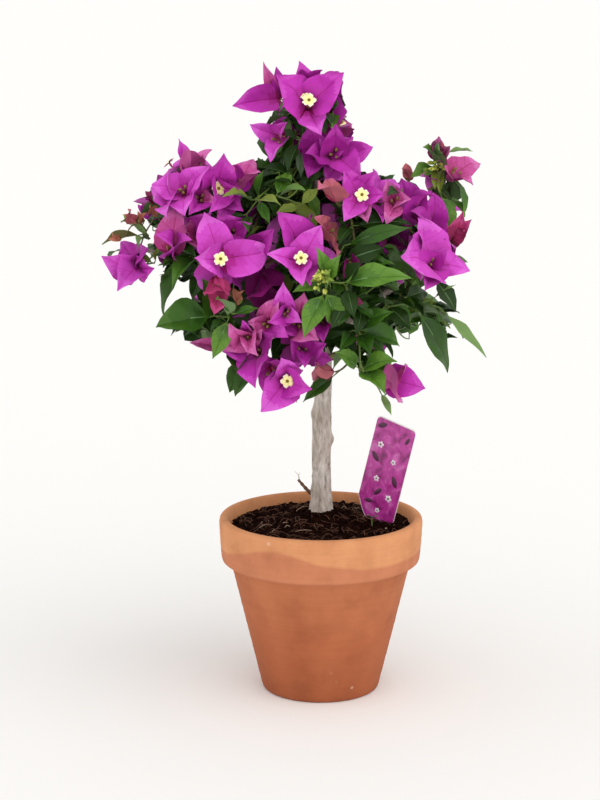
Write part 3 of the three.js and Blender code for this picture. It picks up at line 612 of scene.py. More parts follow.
# The sprays that give each mass its look. Each row is one node of the rule above, and sits at a fraction of its mass's box:
# (the places, headings, spreads, lengths and seeds were fitted, so that the tips fall where the front view of the plant has them)
# kind, colour, place in the box, azimuth, elevation, spin, spread, blade length in mm, blades, seed, width to length, open flowers (-1 none)
SPRAYS = {
    "top": [
        ("bloom", "B1", (0.6, 0.18, 0.51), 0, 27, 58, 60, 32.2, 3, 30315, 0.86, 2),
        ("bloom", "B2", (0.59, 0.36, 0.56), 0, 75, 2, 33, 30.6, 3, 129, 0.66, -1),
        ("bloom", "B1", (0.39, 0.75, 0.58), -85, -8, 0, 0, 36.3, 1, 2300, 0.56, -1),
        ("bloom", "B1", (0.43, 0.39, 0.18), -33, 0, 30, 54, 28.2, 3, 71005, 0.66, -1),
        ("bloom", "B2", (0.8, 0.27, -0.01), 0, 15, 70, 58, 28.2, 3, 30709, 0.8, 0),
        ("bloom", "B2", (0.83, 0.36, -0.03), 8, 0, 8, 77, 25, 3, 30825, 0.72, -1),
        ("bloom", "B3", (0.68, 0.48, 0.05), 0, 0, 6, 44, 35.4, 3, 629, 0.78, -1),
        ("leaf", "L4", (0.54, 0.36, 0.16), -58, -10, 137, 56, 23.7, 2, 707, 0.44, -1),
        ("leaf", "L9", (0.54, 0.3, 0.13), 14, -83, 0, 0, 24.9, 1, 59, 0.3, -1),
        ("leaf", "L4", (0.49, 0.39, -0.23), -42, -46, 124, 61, 24, 2, 909, 0.46, -1),
        ("bloom", "B9", (0.39, 0.87, 0.55), -77, 66, 0, 0, 32.5, 1, 2301, 0.32, -1),
        ("bloom", "B2", (0.41, 0.84, 0.59), -60, 76, 0, 0, 23.9, 1, 2303, 0.5, -1),
    ],
    "upper_left": [
        ("bloom", "B9", (0.43, 0.42, 0.54), 23, 72, 12, 46, 37.9, 3, 1024, 0.52, -1),
        ("bloom", "B1", (0.42, 0.21, 0.46), -18, 28, 40, 57, 30.2, 3, 1111, 0.78, 0),
        ("bloom", "B1", (0.33, 0.28, 0.39), -60, 32, 74, 47, 31, 3, 71920, 0.74, -1),
        ("bloom", "B2", (0.72, 0.21, 0.52), 18, 2, 110, 41, 30.2, 3, 1319, 0.76, 1),
        ("bloom", "B3", (0.74, 0.33, 0.45), 65, 20, 106, 76, 26.7, 3, 1424, 0.72, -1),
        ("bloom", "B9", (1.02, 0.37, 0.45), 31, 74, 53, 49, 27.1, 3, 1520, 0.66, -1),
        ("bloom", "B9", (0.23, 0.12, -0.18), 5, 48, 71, 35, 38.7, 3, 72320, 0.72, -1),
        ("bloom", "B9", (0.57, 0.23, 0.38), 1, 22, 106, 46, 23.6, 3, 90905, 0.74, -1),
        ("bloom", "B9", (0.88, 0.28, 0.39), 12, 0, 326, 38, 21.9, 3, 91004, 0.72, -1),
        ("bloom", "B9", (0.51, 0.3, 0.01), 0, 15, 53, 33, 34.5, 3, 172329, 0.74, -1),
    ],
    "left_spray": [
        ("bloom", "B1", (0.62, 0.2, 0.29), -15, 0, 16, 35, 35.3, 3, 212116, 0.7, -1),
        ("leaf", "L8", (0.67, 0.39, 0.62), -85, -14, 0, 0, 32.3, 1, 1518, 0.34, -1),
        ("bud", "B8", (0.9, 0.46, 0.91), -60, 57, 188, 29, 15.4, 2, 1919, 0.4, -1),
        ("bud", "O1", (0.94, 0.39, 0.86), -55, 10, 314, 29, 14, 2, 2020, 0.55, -1),
        ("bud", "B7", (0.59, 0.27, 0.77), -52, 32, 249, 21, 16.9, 2, 183921, 0.5, -1),
        ("leaf", "L7", (0.87, -0.03, 0.35), -50, 38, 61, 63, 16.1, 2, 153722, 0.36, -1),
        ("bud", "O1", (0.69, 0.31, 0.76), -31, 34, 2, 30, 10.1, 2, 191900, 0.5, -1),
        ("leaf", "L6", (0.78, 0.31, 0.58), -54, 22, 3, 53, 39.5, 2, 171801, 0.2, -1),
        ("bud", "L5", (0.49, 0.31, 0.73), -56, 49, 192, 27, 12.1, 2, 192001, 0.45, -1),
        ("bud", "O1", (0.34, 0.27, 0.59), -48, 0, 68, 33, 8.1, 2, 192102, 0.5, -1),
        ("bloom", "B2", (0.63, 0.25, 0.31), -54, 22, 29, 69, 29.1, 2, 212201, 0.66, -1),
    ],
    "left_inner": [
        ("leaf", "L3", (0.69, 0.2, 0.68), -79, -23, 250, 51, 49.1, 2, 2323, 0.34, -1),
        ("leaf", "L4", (0.86, 0.09, 0.51), -78, -25, 192, 59, 31.9, 2, 2424, 0.45, -1),
        ("leaf", "L2", (0.81, 0.01, 0.66), -83, -5, 181, 61, 55.1, 2, 2525, 0.28, -1),
    ],
    "lower_left": [
        ("leaf", "L2", (0.57, 0.22, 0.65), -38, 0, 72, 62, 41.4, 2, 2626, 0.71, -1),
        ("leaf", "L1", (0.72, -0.01, 0.69), -3, -23, 108, 45, 31.2, 2, 2727, 0.42, -1),
        ("bud", "B8", (0.33, 0.29, 0.73), -90, 36, 0, 0, 7.7, 1, 199, 0.45, -1),
        ("bloom", "B9", (0.66, 0.57, 0.14), -84, 8, 0, 0, 27.3, 1, 2302, 0.36, -1),
    ],
    "centre_left": [
        ("bloom", "B1", (0.39, 0.28, 0.5), 0, 0, 346, 114, 39.4, 3, 33232, 0.78, 1),
        ("bloom", "B1", (0.39, 0.39, 0.46), 54, 0, 63, 80, 32.3, 3, 33345, 0.76, -1),
        ("bloom", "B6", (0.33, 0.25, 0.35), 6, -53, 21, 46, 27, 3, 3172, 0.56, -1),
        ("bloom", "B3", (0.82, 0.47, 0.57), 0, 0, 49, 50, 21.8, 3, 33544, 0.72, 1),
        ("bud", "O1", (0.62, 0.36, 0.05), 0, 64, 13, 40, 12.9, 2, 185133, 0.5, -1),
        ("leaf", "L2", (0.54, 0.28, -0.03), 0, 0, 15, 66, 20.6, 2, 3434, 0.34, -1),
        ("bloom", "B2", (0.52, 0.61, 0.68), 0, 20, 24, 40, 30.4, 3, 172210, 0.74, -1),
    ],
    "centre_right": [
        ("bloom", "B1", (0.56, 0.27, 0.49), 0, 17, 50, 56, 29.5, 3, 3547, 0.72, 1),
        ("bloom", "B1", (0.56, 0.41, 0.51), 33, 34, 351, 63, 30.4, 3, 3650, 0.74, -1),
        ("bloom", "B7", (0.85, 0.52, 0.71), 64, 16, 11, 64, 28, 3, 242409, 0.6, -1),
        ("bloom", "B4", (0.08, 0.65, 0.37), 0, -55, 11, 42, 33.1, 3, 3884, 0.74, -1),
    ],
    "lower_centre": [
        ("bloom", "B9", (0.36, 0.16, 0.8), 0, 0, 80, 39, 31.3, 3, 3950, 0.74, -1),
        ("bloom", "B9", (0.04, 0.14, 0.79), -17, 0, 319, 52, 26, 3, 34345, 0.74, -1),
        ("bloom", "B3", (0.35, 0.3, 0.53), 0, -28, 353, 94, 27.2, 3, 4185, 0.76, -1),
        ("bloom", "B9", (-0.12, 0.18, 0.64), -31, 0, 95, 43, 27.4, 3, 4253, 0.56, -1),
        ("bloom", "B3", (0.65, 0.27, 0.8), -4, 0, 15, 41, 31.8, 3, 4380, 0.66, -1),
        ("bloom", "B9", (-0.25, 0.18, 0.6), -1, 0, 28, 42, 19.9, 3, 91111, 0.74, -1),
        ("bloom", "B2", (0.45, 0.32, 0.43), 0, 4, 23, 32, 27.7, 3, 91206, 0.76, -1),
        ("bloom", "B1", (0.23, 0.09, 0.91), 0, 0, 324, 32, 23.9, 3, 91313, 0.62, -1),
    ],
    "bottom_front": [
        ("bloom", "B2", (0.44, 0.22, 0.87), -28, 17, 63, 59, 37.7, 3, 4450, 0.66, -1),
        ("bloom", "B1", (0.75, 0.18, 0.55), 0, -6, 345, 48, 33.6, 3, 4569, 0.84, 1),
        ("bloom", "B3", (0.55, 0.39, 0.66), 0, -26, 11, 76, 27, 3, 4688, 0.76, -1),
        ("leaf", "L3", (0.2, 0.56, 0.77), 12, -56, 111, 54, 36.6, 2, 4747, 0.5, -1),
        ("leaf", "L3", (0.28, 0.49, 0.7), -76, -64, 0, 0, 28.5, 1, 339, 0.46, -1),
    ],
    "leaf_front": [
        ("leaf", "L1", (0.16, 0.12, 0.56), -50, 34, 119, 56, 26.8, 3, 116050, 0.42, 12),
        ("leaf", "L1", (0.16, 0.12, 0.47), 0, -83, 159, 35, 37.4, 2, 116156, 0.46, -1),
        ("leaf", "L1", (0.3, 0.12, 0.54), 87, 4, 0, 0, 51.7, 1, 360, 0.38, -1),
        ("leaf", "L3", (0.35, 0.41, 0.86), 86, 15, 0, 0, 50.9, 1, 367, 0.26, -1),
        ("leaf", "L4", (0.37, 0.26, 0.49), 15, 0, 291, 60, 25.1, 2, 5353, 0.5, -1),
        ("bud", "B8", (0.4, 0.26, 0.35), 90, -12, 0, 0, 10.3, 1, 381, 0.7, -1),
        ("leaf", "L4", (0.35, 0.35, 0.34), 10, -18, 237, 69, 23.4, 2, 5555, 0.46, -1),
        ("leaf", "L3", (0.43, 0.41, 0.33), 35, -34, 333, 64, 23.4, 3, 171908, 0.46, -1),
        ("leaf", "L4", (0.54, 0.58, 0.26), 47, -27, 345, 46, 22, 3, 172003, 0.5, -1),
    ],
    "low_right": [
        ("leaf", "L2", (0.29, 0.05, 0.89), 71, 0, 323, 41, 40.3, 2, 5658, 0.46, -1),
        ("leaf", "L3", (0.31, 0.05, 0.84), 55, -64, 4, 48, 30.4, 2, 5757, 0.5, -1),
        ("leaf", "L1", (0.33, -0.06, 0.34), 0, 20, 29, 64, 33.1, 3, 5862, 0.52, -1),
        ("leaf", "L6", (0.65, 0.11, -0.03), 70, -63, 0, 0, 19.9, 1, 416, 0.28, -1),
        ("leaf", "L3", (-0, 0.33, 0.18), -83, -40, 0, 0, 34.2, 1, 423, 0.32, -1),
        ("bloom", "B7", (-0.04, 0.3, 0.2), -85, 0, 223, 70, 30, 2, 6165, 0.5, -1),
        ("leaf", "L4", (0.74, 0.25, 1.19), 44, 13, 161, 57, 34.3, 2, 6262, 0.52, -1),
        ("leaf", "L6", (1.48, 0.61, 1.19), 80, 32, 0, 0, 21.1, 1, 1163, 0.13, -1),
        ("leaf", "L3", (0.22, 0.11, 0.85), -64, -8, 218, 56, 48.7, 2, 6464, 0.24, -1),
        ("leaf", "L2", (0.84, 0.41, 1.21), 43, -53, 80, 42, 25.1, 3, 172110, 0.42, -1),
    ],
    "low_right_tip": [
        ("bloom", "B9", (-0.21, -0.34, 0.84), 64, 0, 111, 39, 33, 3, 6576, 0.74, -1),
    ],
    "right": [
        ("bloom", "B1", (0.42, -0.06, 0.48), 39, 30, 87, 73, 36.2, 3, 6671, 0.86, -1),
        ("bloom", "B2", (0.43, -0.06, 0.44), 5, 12, 128, 42, 29.4, 3, 6779, 0.76, -1),
    ],
    "right_upper": [
        ("bloom", "B2", (0.79, 0.37, 0.31), -35, 63, 16, 58, 33.9, 3, 6868, 0.8, -1),
        ("bloom", "B1", (0.44, 0.33, 0.57), 49, 33, 340, 54, 29.9, 3, 6969, 0.72, -1),
        ("bloom", "B3", (0.93, 0.46, 0.19), 33, 51, 45, 47, 30.7, 3, 7071, 0.72, -1),
        ("bloom", "B1", (0.35, 0.14, 0.65), 0, 12, 121, 68, 23.7, 3, 37471, 0.78, 1),
        ("bloom", "B7", (0.16, 0.1, 0.61), -2, 76, 131, 58, 33, 2, 7272, 0.62, -1),
        ("leaf", "L4", (0.71, 0.31, 0.72), -84, 0, 228, 50, 26.4, 2, 7377, 0.34, -1),
        ("leaf", "L4", (0.29, 0.18, 0.35), 38, 0, 210, 54, 39.5, 2, 7483, 0.34, -1),
        ("bloom", "B4", (0.29, 0.08, -0.02), 0, 0, 260, 31, 25.9, 2, 7588, 0.7, -1),
        ("bloom", "B9", (0.34, 0.27, 0.65), 0, 2, 67, 44, 21.8, 3, 50513, 0.74, -1),
        ("bloom", "B9", (0.65, 0.25, 0.57), 0, 19, 352, 48, 20.3, 3, 131512, 0.76, -1),
    ],
    "right_tip": [
        ("bloom", "B9", (0.52, 0.37, 0.51), 56, 43, 20, 71, 31.4, 3, 118779, 0.62, -1),
        ("bloom", "B9", (0.43, 0.42, 0.7), 0, 36, 0, 37, 29.3, 2, 7786, 0.6, -1),
        ("bloom", "B6", (0.55, 0.2, -0.17), 31, 42, 352, 25, 31.9, 3, 7902, 0.56, -1),
        ("bud", "B7", (0.01, 0.4, 0.49), -25, 77, 115, 26, 14.3, 2, 7979, 0.5, -1),
        ("leaf", "L1", (0.36, 0.31, 0.68), -28, 0, 89, 36, 30.1, 3, 119182, 0.55, 6),
        ("leaf", "L6", (0.5, 0.46, 0.81), 82, 3, 0, 0, 20.9, 1, 570, 0.26, -1),
        ("leaf", "L1", (0.42, 0.24, 0.38), 67, -76, 0, 0, 31, 1, 1182, 0.46, -1),
        ("bud", "B5", (0.34, 0.34, 0.42), -22, 53, 114, 25, 21.3, 2, 8383, 0.55, -1),
        ("bud", "L7", (0.39, 0.31, 0.6), 0, -48, 172, 12, 15.8, 2, 131300, 0.5, -1),
        ("bud", "B7", (0.43, 0.34, 0.8), 0, 51, 347, 28, 11.6, 2, 131402, 0.55, -1),
    ],
    "right_droop": [
        ("leaf", "L3", (0.17, 0.12, 0.75), 69, -11, 163, 51, 71.1, 2, 8484, 0.34, -1),
        ("leaf", "L6", (0.47, 0.34, 0.72), 85, -47, 0, 0, 49, 1, 1185, 0.19, -1),
        ("leaf", "L4", (0, 0.09, 0.92), 72, 0, 224, 63, 33, 2, 8686, 0.4, -1),
    ],
    "upper_centre": [
        ("leaf", "L7", (0.28, 0.13, 0.4), 0, 0, 35, 44, 41.9, 2, 8814, 0.26, -1),
        ("leaf", "L2", (0.31, 0.15, 0.41), 0, 15, 306, 57, 23.5, 2, 8891, 0.32, -1),
        ("leaf", "L1", (0.5, 0.15, 0.44), 0, 75, 304, 68, 36.1, 2, 8995, 0.38, -1),
        ("leaf", "L3", (0.2, 0.13, 0.23), -20, 0, 188, 59, 20.8, 2, 9096, 0.34, -1),
        ("leaf", "L7", (0.75, 0.19, 0.32), 0, 40, 53, 73, 21.7, 2, 9191, 0.4, -1),
    ],
}

# the limbs: root, tip, radii, rise of the arc, in mm. These are the numbers of the part's source, copied here and not read
# from the frame, so they are changed by hand if the part's limbs are
LIMBS = {
    "leader": ((-1, 8, 299.6), (-12, -26, 436), (4.4, 2.1), (10, 8, 0)),
    "bough_upper_left": ((0, 9.5, 288), (-82, -42, 392), (3.8, 1.7), (-8, 6, 12)),
    "bough_right_upper": ((0.5, 10, 287), (45, -36, 384), (3.8, 1.7), (8, 4, 4)),
    "bough_left": ((1.5, 12, 272), (-136, -12, 352), (4, 1.5), (-6, 8, 16)),
    "bough_lower_left": ((1.8, 12.6, 264), (-78, -46, 304), (3.3, 1.5), (-4, 2, 6)),
    "bough_right": ((1.6, 12, 275), (76, -30, 344), (3.8, 1.7), (8, 6, 4)),
    "bough_right_tip": ((0.8, 11, 281), (91, 4, 396), (3, 1.3), (14, 6, -6)),
    "bough_low_right": ((1.9, 13, 261), (32, -40, 281), (3, 1.3), (2, -4, 4)),
    "bough_front": ((0.8, 10, 279), (10, -82, 340), (3.6, 1.5), (2, -8, -2)),
    "bough_front_left": ((0, 9, 290), (-58, -76, 356), (3.3, 1.5), (-4, -6, 4)),
    "bough_back_left": ((1.2, 13, 278), (-94, 50, 362), (3.7, 1.6), (-6, 8, 4)),
    "bough_back": ((0.4, 12, 284), (-16, 76, 350), (3.6, 1.6), (0, 8, 2)),
    "bough_back_right": ((1.4, 13.4, 274), (62, 52, 352), (3.7, 1.6), (8, 6, 0)),
    "twig_low_right_tip": ((44, -46, 268), (61, -40, 253), (1.5, 1.1), (0, 0, 1)),
}
FEEDERS = {
    "top": "leader", "upper_left": "bough_upper_left", "left_spray": "bough_left", "left_inner": "bough_left",
    "centre_left": "bough_front_left", "centre_right": "bough_front", "upper_centre": "leader", "leaf_front": "bough_front",
    "right_upper": "bough_right_upper", "right_tip": "bough_right_tip", "right": "bough_right", "right_droop": "bough_right",
    "low_right": "bough_low_right", "low_right_tip": "twig_low_right_tip", "lower_centre": "bough_front_left",
    "lower_left": "bough_lower_left", "bottom_front": "bough_lower_left", "back_top": "leader", "back_left": "bough_back_left",
    "back_right": "bough_back_right", "back_centre": "bough_back", "back_low_left": "bough_back_left", "back_low_right": "bough_back_right",
}
GREEN = ("left_inner", "upper_centre", "leaf_front", "right_droop", "low_right", "lower_left", "back_low_left", "back_low_right")


def limb_path(name, n=24):
    a, b, radii, arc = LIMBS[name]
    a, b, arc = np.array(a, float), np.array(b, float), np.array(arc, float)
    mid = (a + b) / 2 + arc
    t = np.linspace(0, 1, n)[:, None]
    return (1 - t) ** 2 * a + 2 * (1 - t) * t * mid + t * t * b


# Openings: straight ways through the crown along the front camera's line of sight, laid out where the front view has
# sky. Each is (across, up, radius) as fractions of the crown's own box: across from its left side, up from its foot,
# radius by its width. Nothing grows over one.
CROWN_LO = np.min([b[0] for b in MASS_BOX.values()], axis=0)
CROWN_HI = np.max([b[1] for b in MASS_BOX.values()], axis=0)
CROWN_MID = (CROWN_LO + CROWN_HI) / 2
EYE = AIM * 1000 - 1600 * LOOK
FRONT_UP = np.array([0.0, math.sin(PITCH), math.cos(PITCH)])


def sight(p):
    """a point seen from the front, in mm across and up"""
    v = p - EYE
    dep = v @ LOOK
    return v[0] * 1600 / dep, (v @ FRONT_UP) * 1600 / dep


LEFT, RIGHT = (sight(np.array([x, CROWN_MID[1], CROWN_MID[2]]))[0] for x in (CROWN_LO[0], CROWN_HI[0]))
FOOT, HEAD = (sight(np.array([CROWN_MID[0], CROWN_MID[1], z]))[1] for z in (CROWN_LO[2], CROWN_HI[2]))
OPENINGS = [
    # between the left spray and the drooping leaf, and under it
    (0.09, 0.37, 0.050), (0.12, 0.32, 0.040), (0.11, 0.25, 0.047), (0.07, 0.18, 0.047), (0.19, 0.35, 0.020), (0.22, 0.32, 0.024), (0.20, 0.28, 0.020),
    # left of the low leaf pair, and under the crown's left side
    (0.15, 0.12, 0.047), (0.21, 0.08, 0.040), (0.25, 0.04, 0.040), (0.31, -0.01, 0.040), (0.38, -0.02, 0.030), (0.40, 0.04, 0.013),
    # round the left spray
    (0.14, 0.49, 0.020), (0.05, 0.60, 0.040), (0.11, 0.70, 0.034), (-0.01, 0.44, 0.017),
    # between the left dome and the top
    (0.31, 0.72, 0.047), (0.35, 0.80, 0.054), (0.26, 0.78, 0.040), (0.36, 0.72, 0.020),
    # between the top and the right dome
    (0.71, 0.78, 0.047), (0.67, 0.72, 0.027), (0.75, 0.72, 0.030), (0.78, 0.64, 0.017), (0.80, 0.63, 0.020), (0.82, 0.57, 0.013), (0.72, 0.67, 0.017),
    # round the right spray
    (0.99, 0.57, 0.034), (0.97, 0.63, 0.027), (0.88, 0.78, 0.027), (0.94, 0.50, 0.030),
    # right of the right bloom, between the drooping leaves
    (0.99, 0.32, 0.054), (0.95, 0.23, 0.030), (0.87, 0.33, 0.024), (0.91, 0.35, 0.027), (0.97, 0.12, 0.040), (0.93, 0.05, 0.047), (0.88, 0.13, 0.030), (0.84, 0.06, 0.040), (0.86, -0.02, 0.047), (0.80, 0.12, 0.027), (0.77, 0.17, 0.017),
    # under the crown on the right, either side of the low spray
    (0.78, -0.05, 0.034), (0.69, -0.02, 0.030), (0.65, 0.01, 0.020), (0.60, -0.00, 0.027), (0.58, 0.06, 0.013), (0.54, 0.07, 0.017),
    # right and left of the top
    (0.65, 0.88, 0.026), (0.68, 0.82, 0.029), (0.69, 0.78, 0.021), (0.73, 0.72, 0.021), (0.71, 0.69, 0.013), (0.65, 0.93, 0.024), (0.35, 0.80, 0.029), (0.38, 0.75, 0.021), (0.42, 0.73, 0.018), (0.37, 0.73, 0.018), (0.44, 0.69, 0.010),
    # under the low left leaves
    (0.12, 0.15, 0.034), (0.18, 0.13, 0.034), (0.23, 0.11, 0.034), (0.27, 0.07, 0.037), (0.30, 0.02, 0.037), (0.10, 0.20, 0.031), (0.21, 0.15, 0.016), (0.27, 0.13, 0.016), (0.38, 0.01, 0.037), (0.42, -0.06, 0.026), (0.36, -0.03, 0.031),
    # left of the upper left dome
    (0.12, 0.68, 0.031), (0.14, 0.71, 0.021), (0.17, 0.73, 0.018), (0.10, 0.64, 0.021), (0.08, 0.60, 0.016), (0.25, 0.76, 0.016), (0.26, 0.77, 0.021), (0.30, 0.75, 0.016), (0.36, 0.73, 0.021),
    # between the drooping leaves on the right
    (0.97, 0.20, 0.018), (0.91, 0.17, 0.018), (0.94, 0.15, 0.024), (0.78, 0.18, 0.026), (0.82, 0.19, 0.021), (0.79, 0.14, 0.031), (0.85, 0.14, 0.018), (0.75, 0.15, 0.016), (0.94, 0.30, 0.024), (0.90, 0.32, 0.008), (0.98, 0.26, 0.021),
    # close under the low left leaves, and beside the top
    (0.16, 0.17, 0.018), (0.20, 0.16, 0.016), (0.23, 0.15, 0.016), (0.26, 0.13, 0.018), (0.29, 0.11, 0.021), (0.64, 0.90, 0.018), (0.64, 0.86, 0.018), (0.65, 0.81, 0.016), (0.14, 0.20, 0.013),
    # beyond the crown's outline
    (0.90, 0.31, 0.018), (0.91, 0.33, 0.013), (0.42, 0.86, 0.013), (0.43, 0.83, 0.008), (0.67, 0.85, 0.031), (0.68, 0.81, 0.024), (0.69, 0.78, 0.016), (0.65, 0.88, 0.018), (0.19, 0.18, 0.016), (0.22, 0.16, 0.016), (0.24, 0.14, 0.016), (0.27, 0.13, 0.016), (0.29, 0.11, 0.013), (0.76, 0.77, 0.031), (0.81, 0.79, 0.026), (0.58, 0.99, 0.013), (0.37, 0.84, 0.013), (0.40, 0.83, 0.010), (0.04, 0.48, 0.010), (0.07, 0.47, 0.013), (0.09, 0.46, 0.013), (0.05, 0.45, 0.010),
    # the left spray's own gaps
    (0.04, 0.51, 0.013), (0.06, 0.52, 0.010), (0.09, 0.48, 0.016), (0.11, 0.51, 0.008), (0.00, 0.51, 0.016), (0.02, 0.55, 0.021), (0.14, 0.50, 0.008), (0.13, 0.37, 0.013), (0.15, 0.41, 0.008),
    # the right spray's own gaps
    (0.84, 0.60, 0.016), (0.81, 0.58, 0.013), (0.79, 0.66, 0.010), (0.82, 0.71, 0.010), (0.86, 0.76, 0.013), (0.92, 0.73, 0.013), (0.95, 0.71, 0.010), (1.01, 0.68, 0.021), (1.00, 0.62, 0.021), (0.88, 0.55, 0.008), (0.98, 0.58, 0.010), (0.94, 0.45, 0.016), (0.99, 0.50, 0.024), (0.86, 0.50, 0.008),
]
WAYS = [(LEFT + a * (RIGHT - LEFT), FOOT + b * (HEAD - FOOT), r * (RIGHT - LEFT)) for a, b, r in OPENINGS]


def open_there(*points, slack=0.0):
    for p in points:
        x, u = sight(np.asarray(p, float))
        for ox, ou, r in WAYS:
            if (x - ox) ** 2 + (u - ou) ** 2 < (r - slack) ** 2:
                return True
    return False


bracts = [Bag("bracts_a")]
leaves = [Bag("leaves_a")]
twigs = Bag("twigs")
flowers = Bag("flowers")
buds = Bag("buds")
LIMIT = 185000


def bag_for(row):
    if row[-1].faces > LIMIT:
        row.append(Bag(row[0].name[:-1] + "abcdefgh"[len(row)]))
    return row[-1]


# wood that a new shoot may leave: per mass, samples (point, direction, cost)
network = {m: [] for m in FEEDERS}
for m, limb in FEEDERS.items():
    pts = limb_path(limb)
    tan = np.gradient(pts, axis=0)
    lo = 8 if limb != "twig_low_right_tip" else 2
    for k in range(lo, len(pts)):
        network[m].append((pts[k], unit(tan[k]), 0.0))
taken = []  # where hero blades already are: mid points and tips


def shoot(mass, end, heading, rnd, thick=0.85, colour="stem_olive", steps=12, keep=True, sides=6):
    """a new shoot from the nearest wood of its mass to end, arriving along heading"""
    end = np.asarray(end, float)
    best, pick = None, None
    for p, t, c in network[mass]:
        away = end - p
        dist = np.linalg.norm(away)
        if dist < 4:
            continue
        score = dist * (1 + 0.35 * (1 - np.dot(away / dist, t))) + c
        if best is None or score < best:
            best, pick = score, (p, t, dist)
    p, t, dist = pick
    wob = np.array([rnd.uniform(-1, 1) for _ in range(3)]) * dist * 0.07
    path = bezier(p, p + t * dist * 0.33, end - heading * dist * 0.36 + wob, end, steps)
    r = thick * (0.75 + min(dist, 70) / 110)
    tube(twigs, path, np.linspace(r * 1.15, thick * 0.72, steps), mats[colour], sides=sides)
    if keep:
        tan = np.gradient(path, axis=0)
        for k in range(2, steps - 3):
            network[mass].append((path[k], unit(tan[k]), 6 + 0.25 * k))
    return path


def small_leaf(at, direction, length, tint, rnd, res=1, width=None, face=None, droop=0.0):
    direction = unit(direction)
    stalk = at + direction * min(5.0, length * 0.16)
    tip = at + direction * length + np.array([0, 0, -droop * length])
    out = np.array([at[0] + 16, at[1] - 10, 0]) * 0.004
    face = (UP * 0.9 + out + direction * 0.2 + np.array([rnd.gauss(0, 0.3) for _ in range(3)])) if face is None else face
    tube(twigs, np.linspace(at, stalk, 2 if res in (0, 3) else 4), [0.5, 0.36] if res in (0, 3) else [0.5, 0.42, 0.38, 0.36], mats["stem_green"], sides=4 if res in (0, 3) else 6)
    w = length * (rnd.uniform(0.38, 0.5) if width is None else width)
    blade(bag_for(leaves), stalk - direction * 0.5, tip, face, w, "leaf", leaf_tints(tint), rnd, res=res, arch=rnd.uniform(0.3, 1.1), fold=rnd.uniform(12, 30), twist=rnd.gauss(0, 16), wave=0.35 + length * 0.008, thick=0.32, flick=rnd.uniform(0, 0.4), rough=0.7)


FINE = [True]


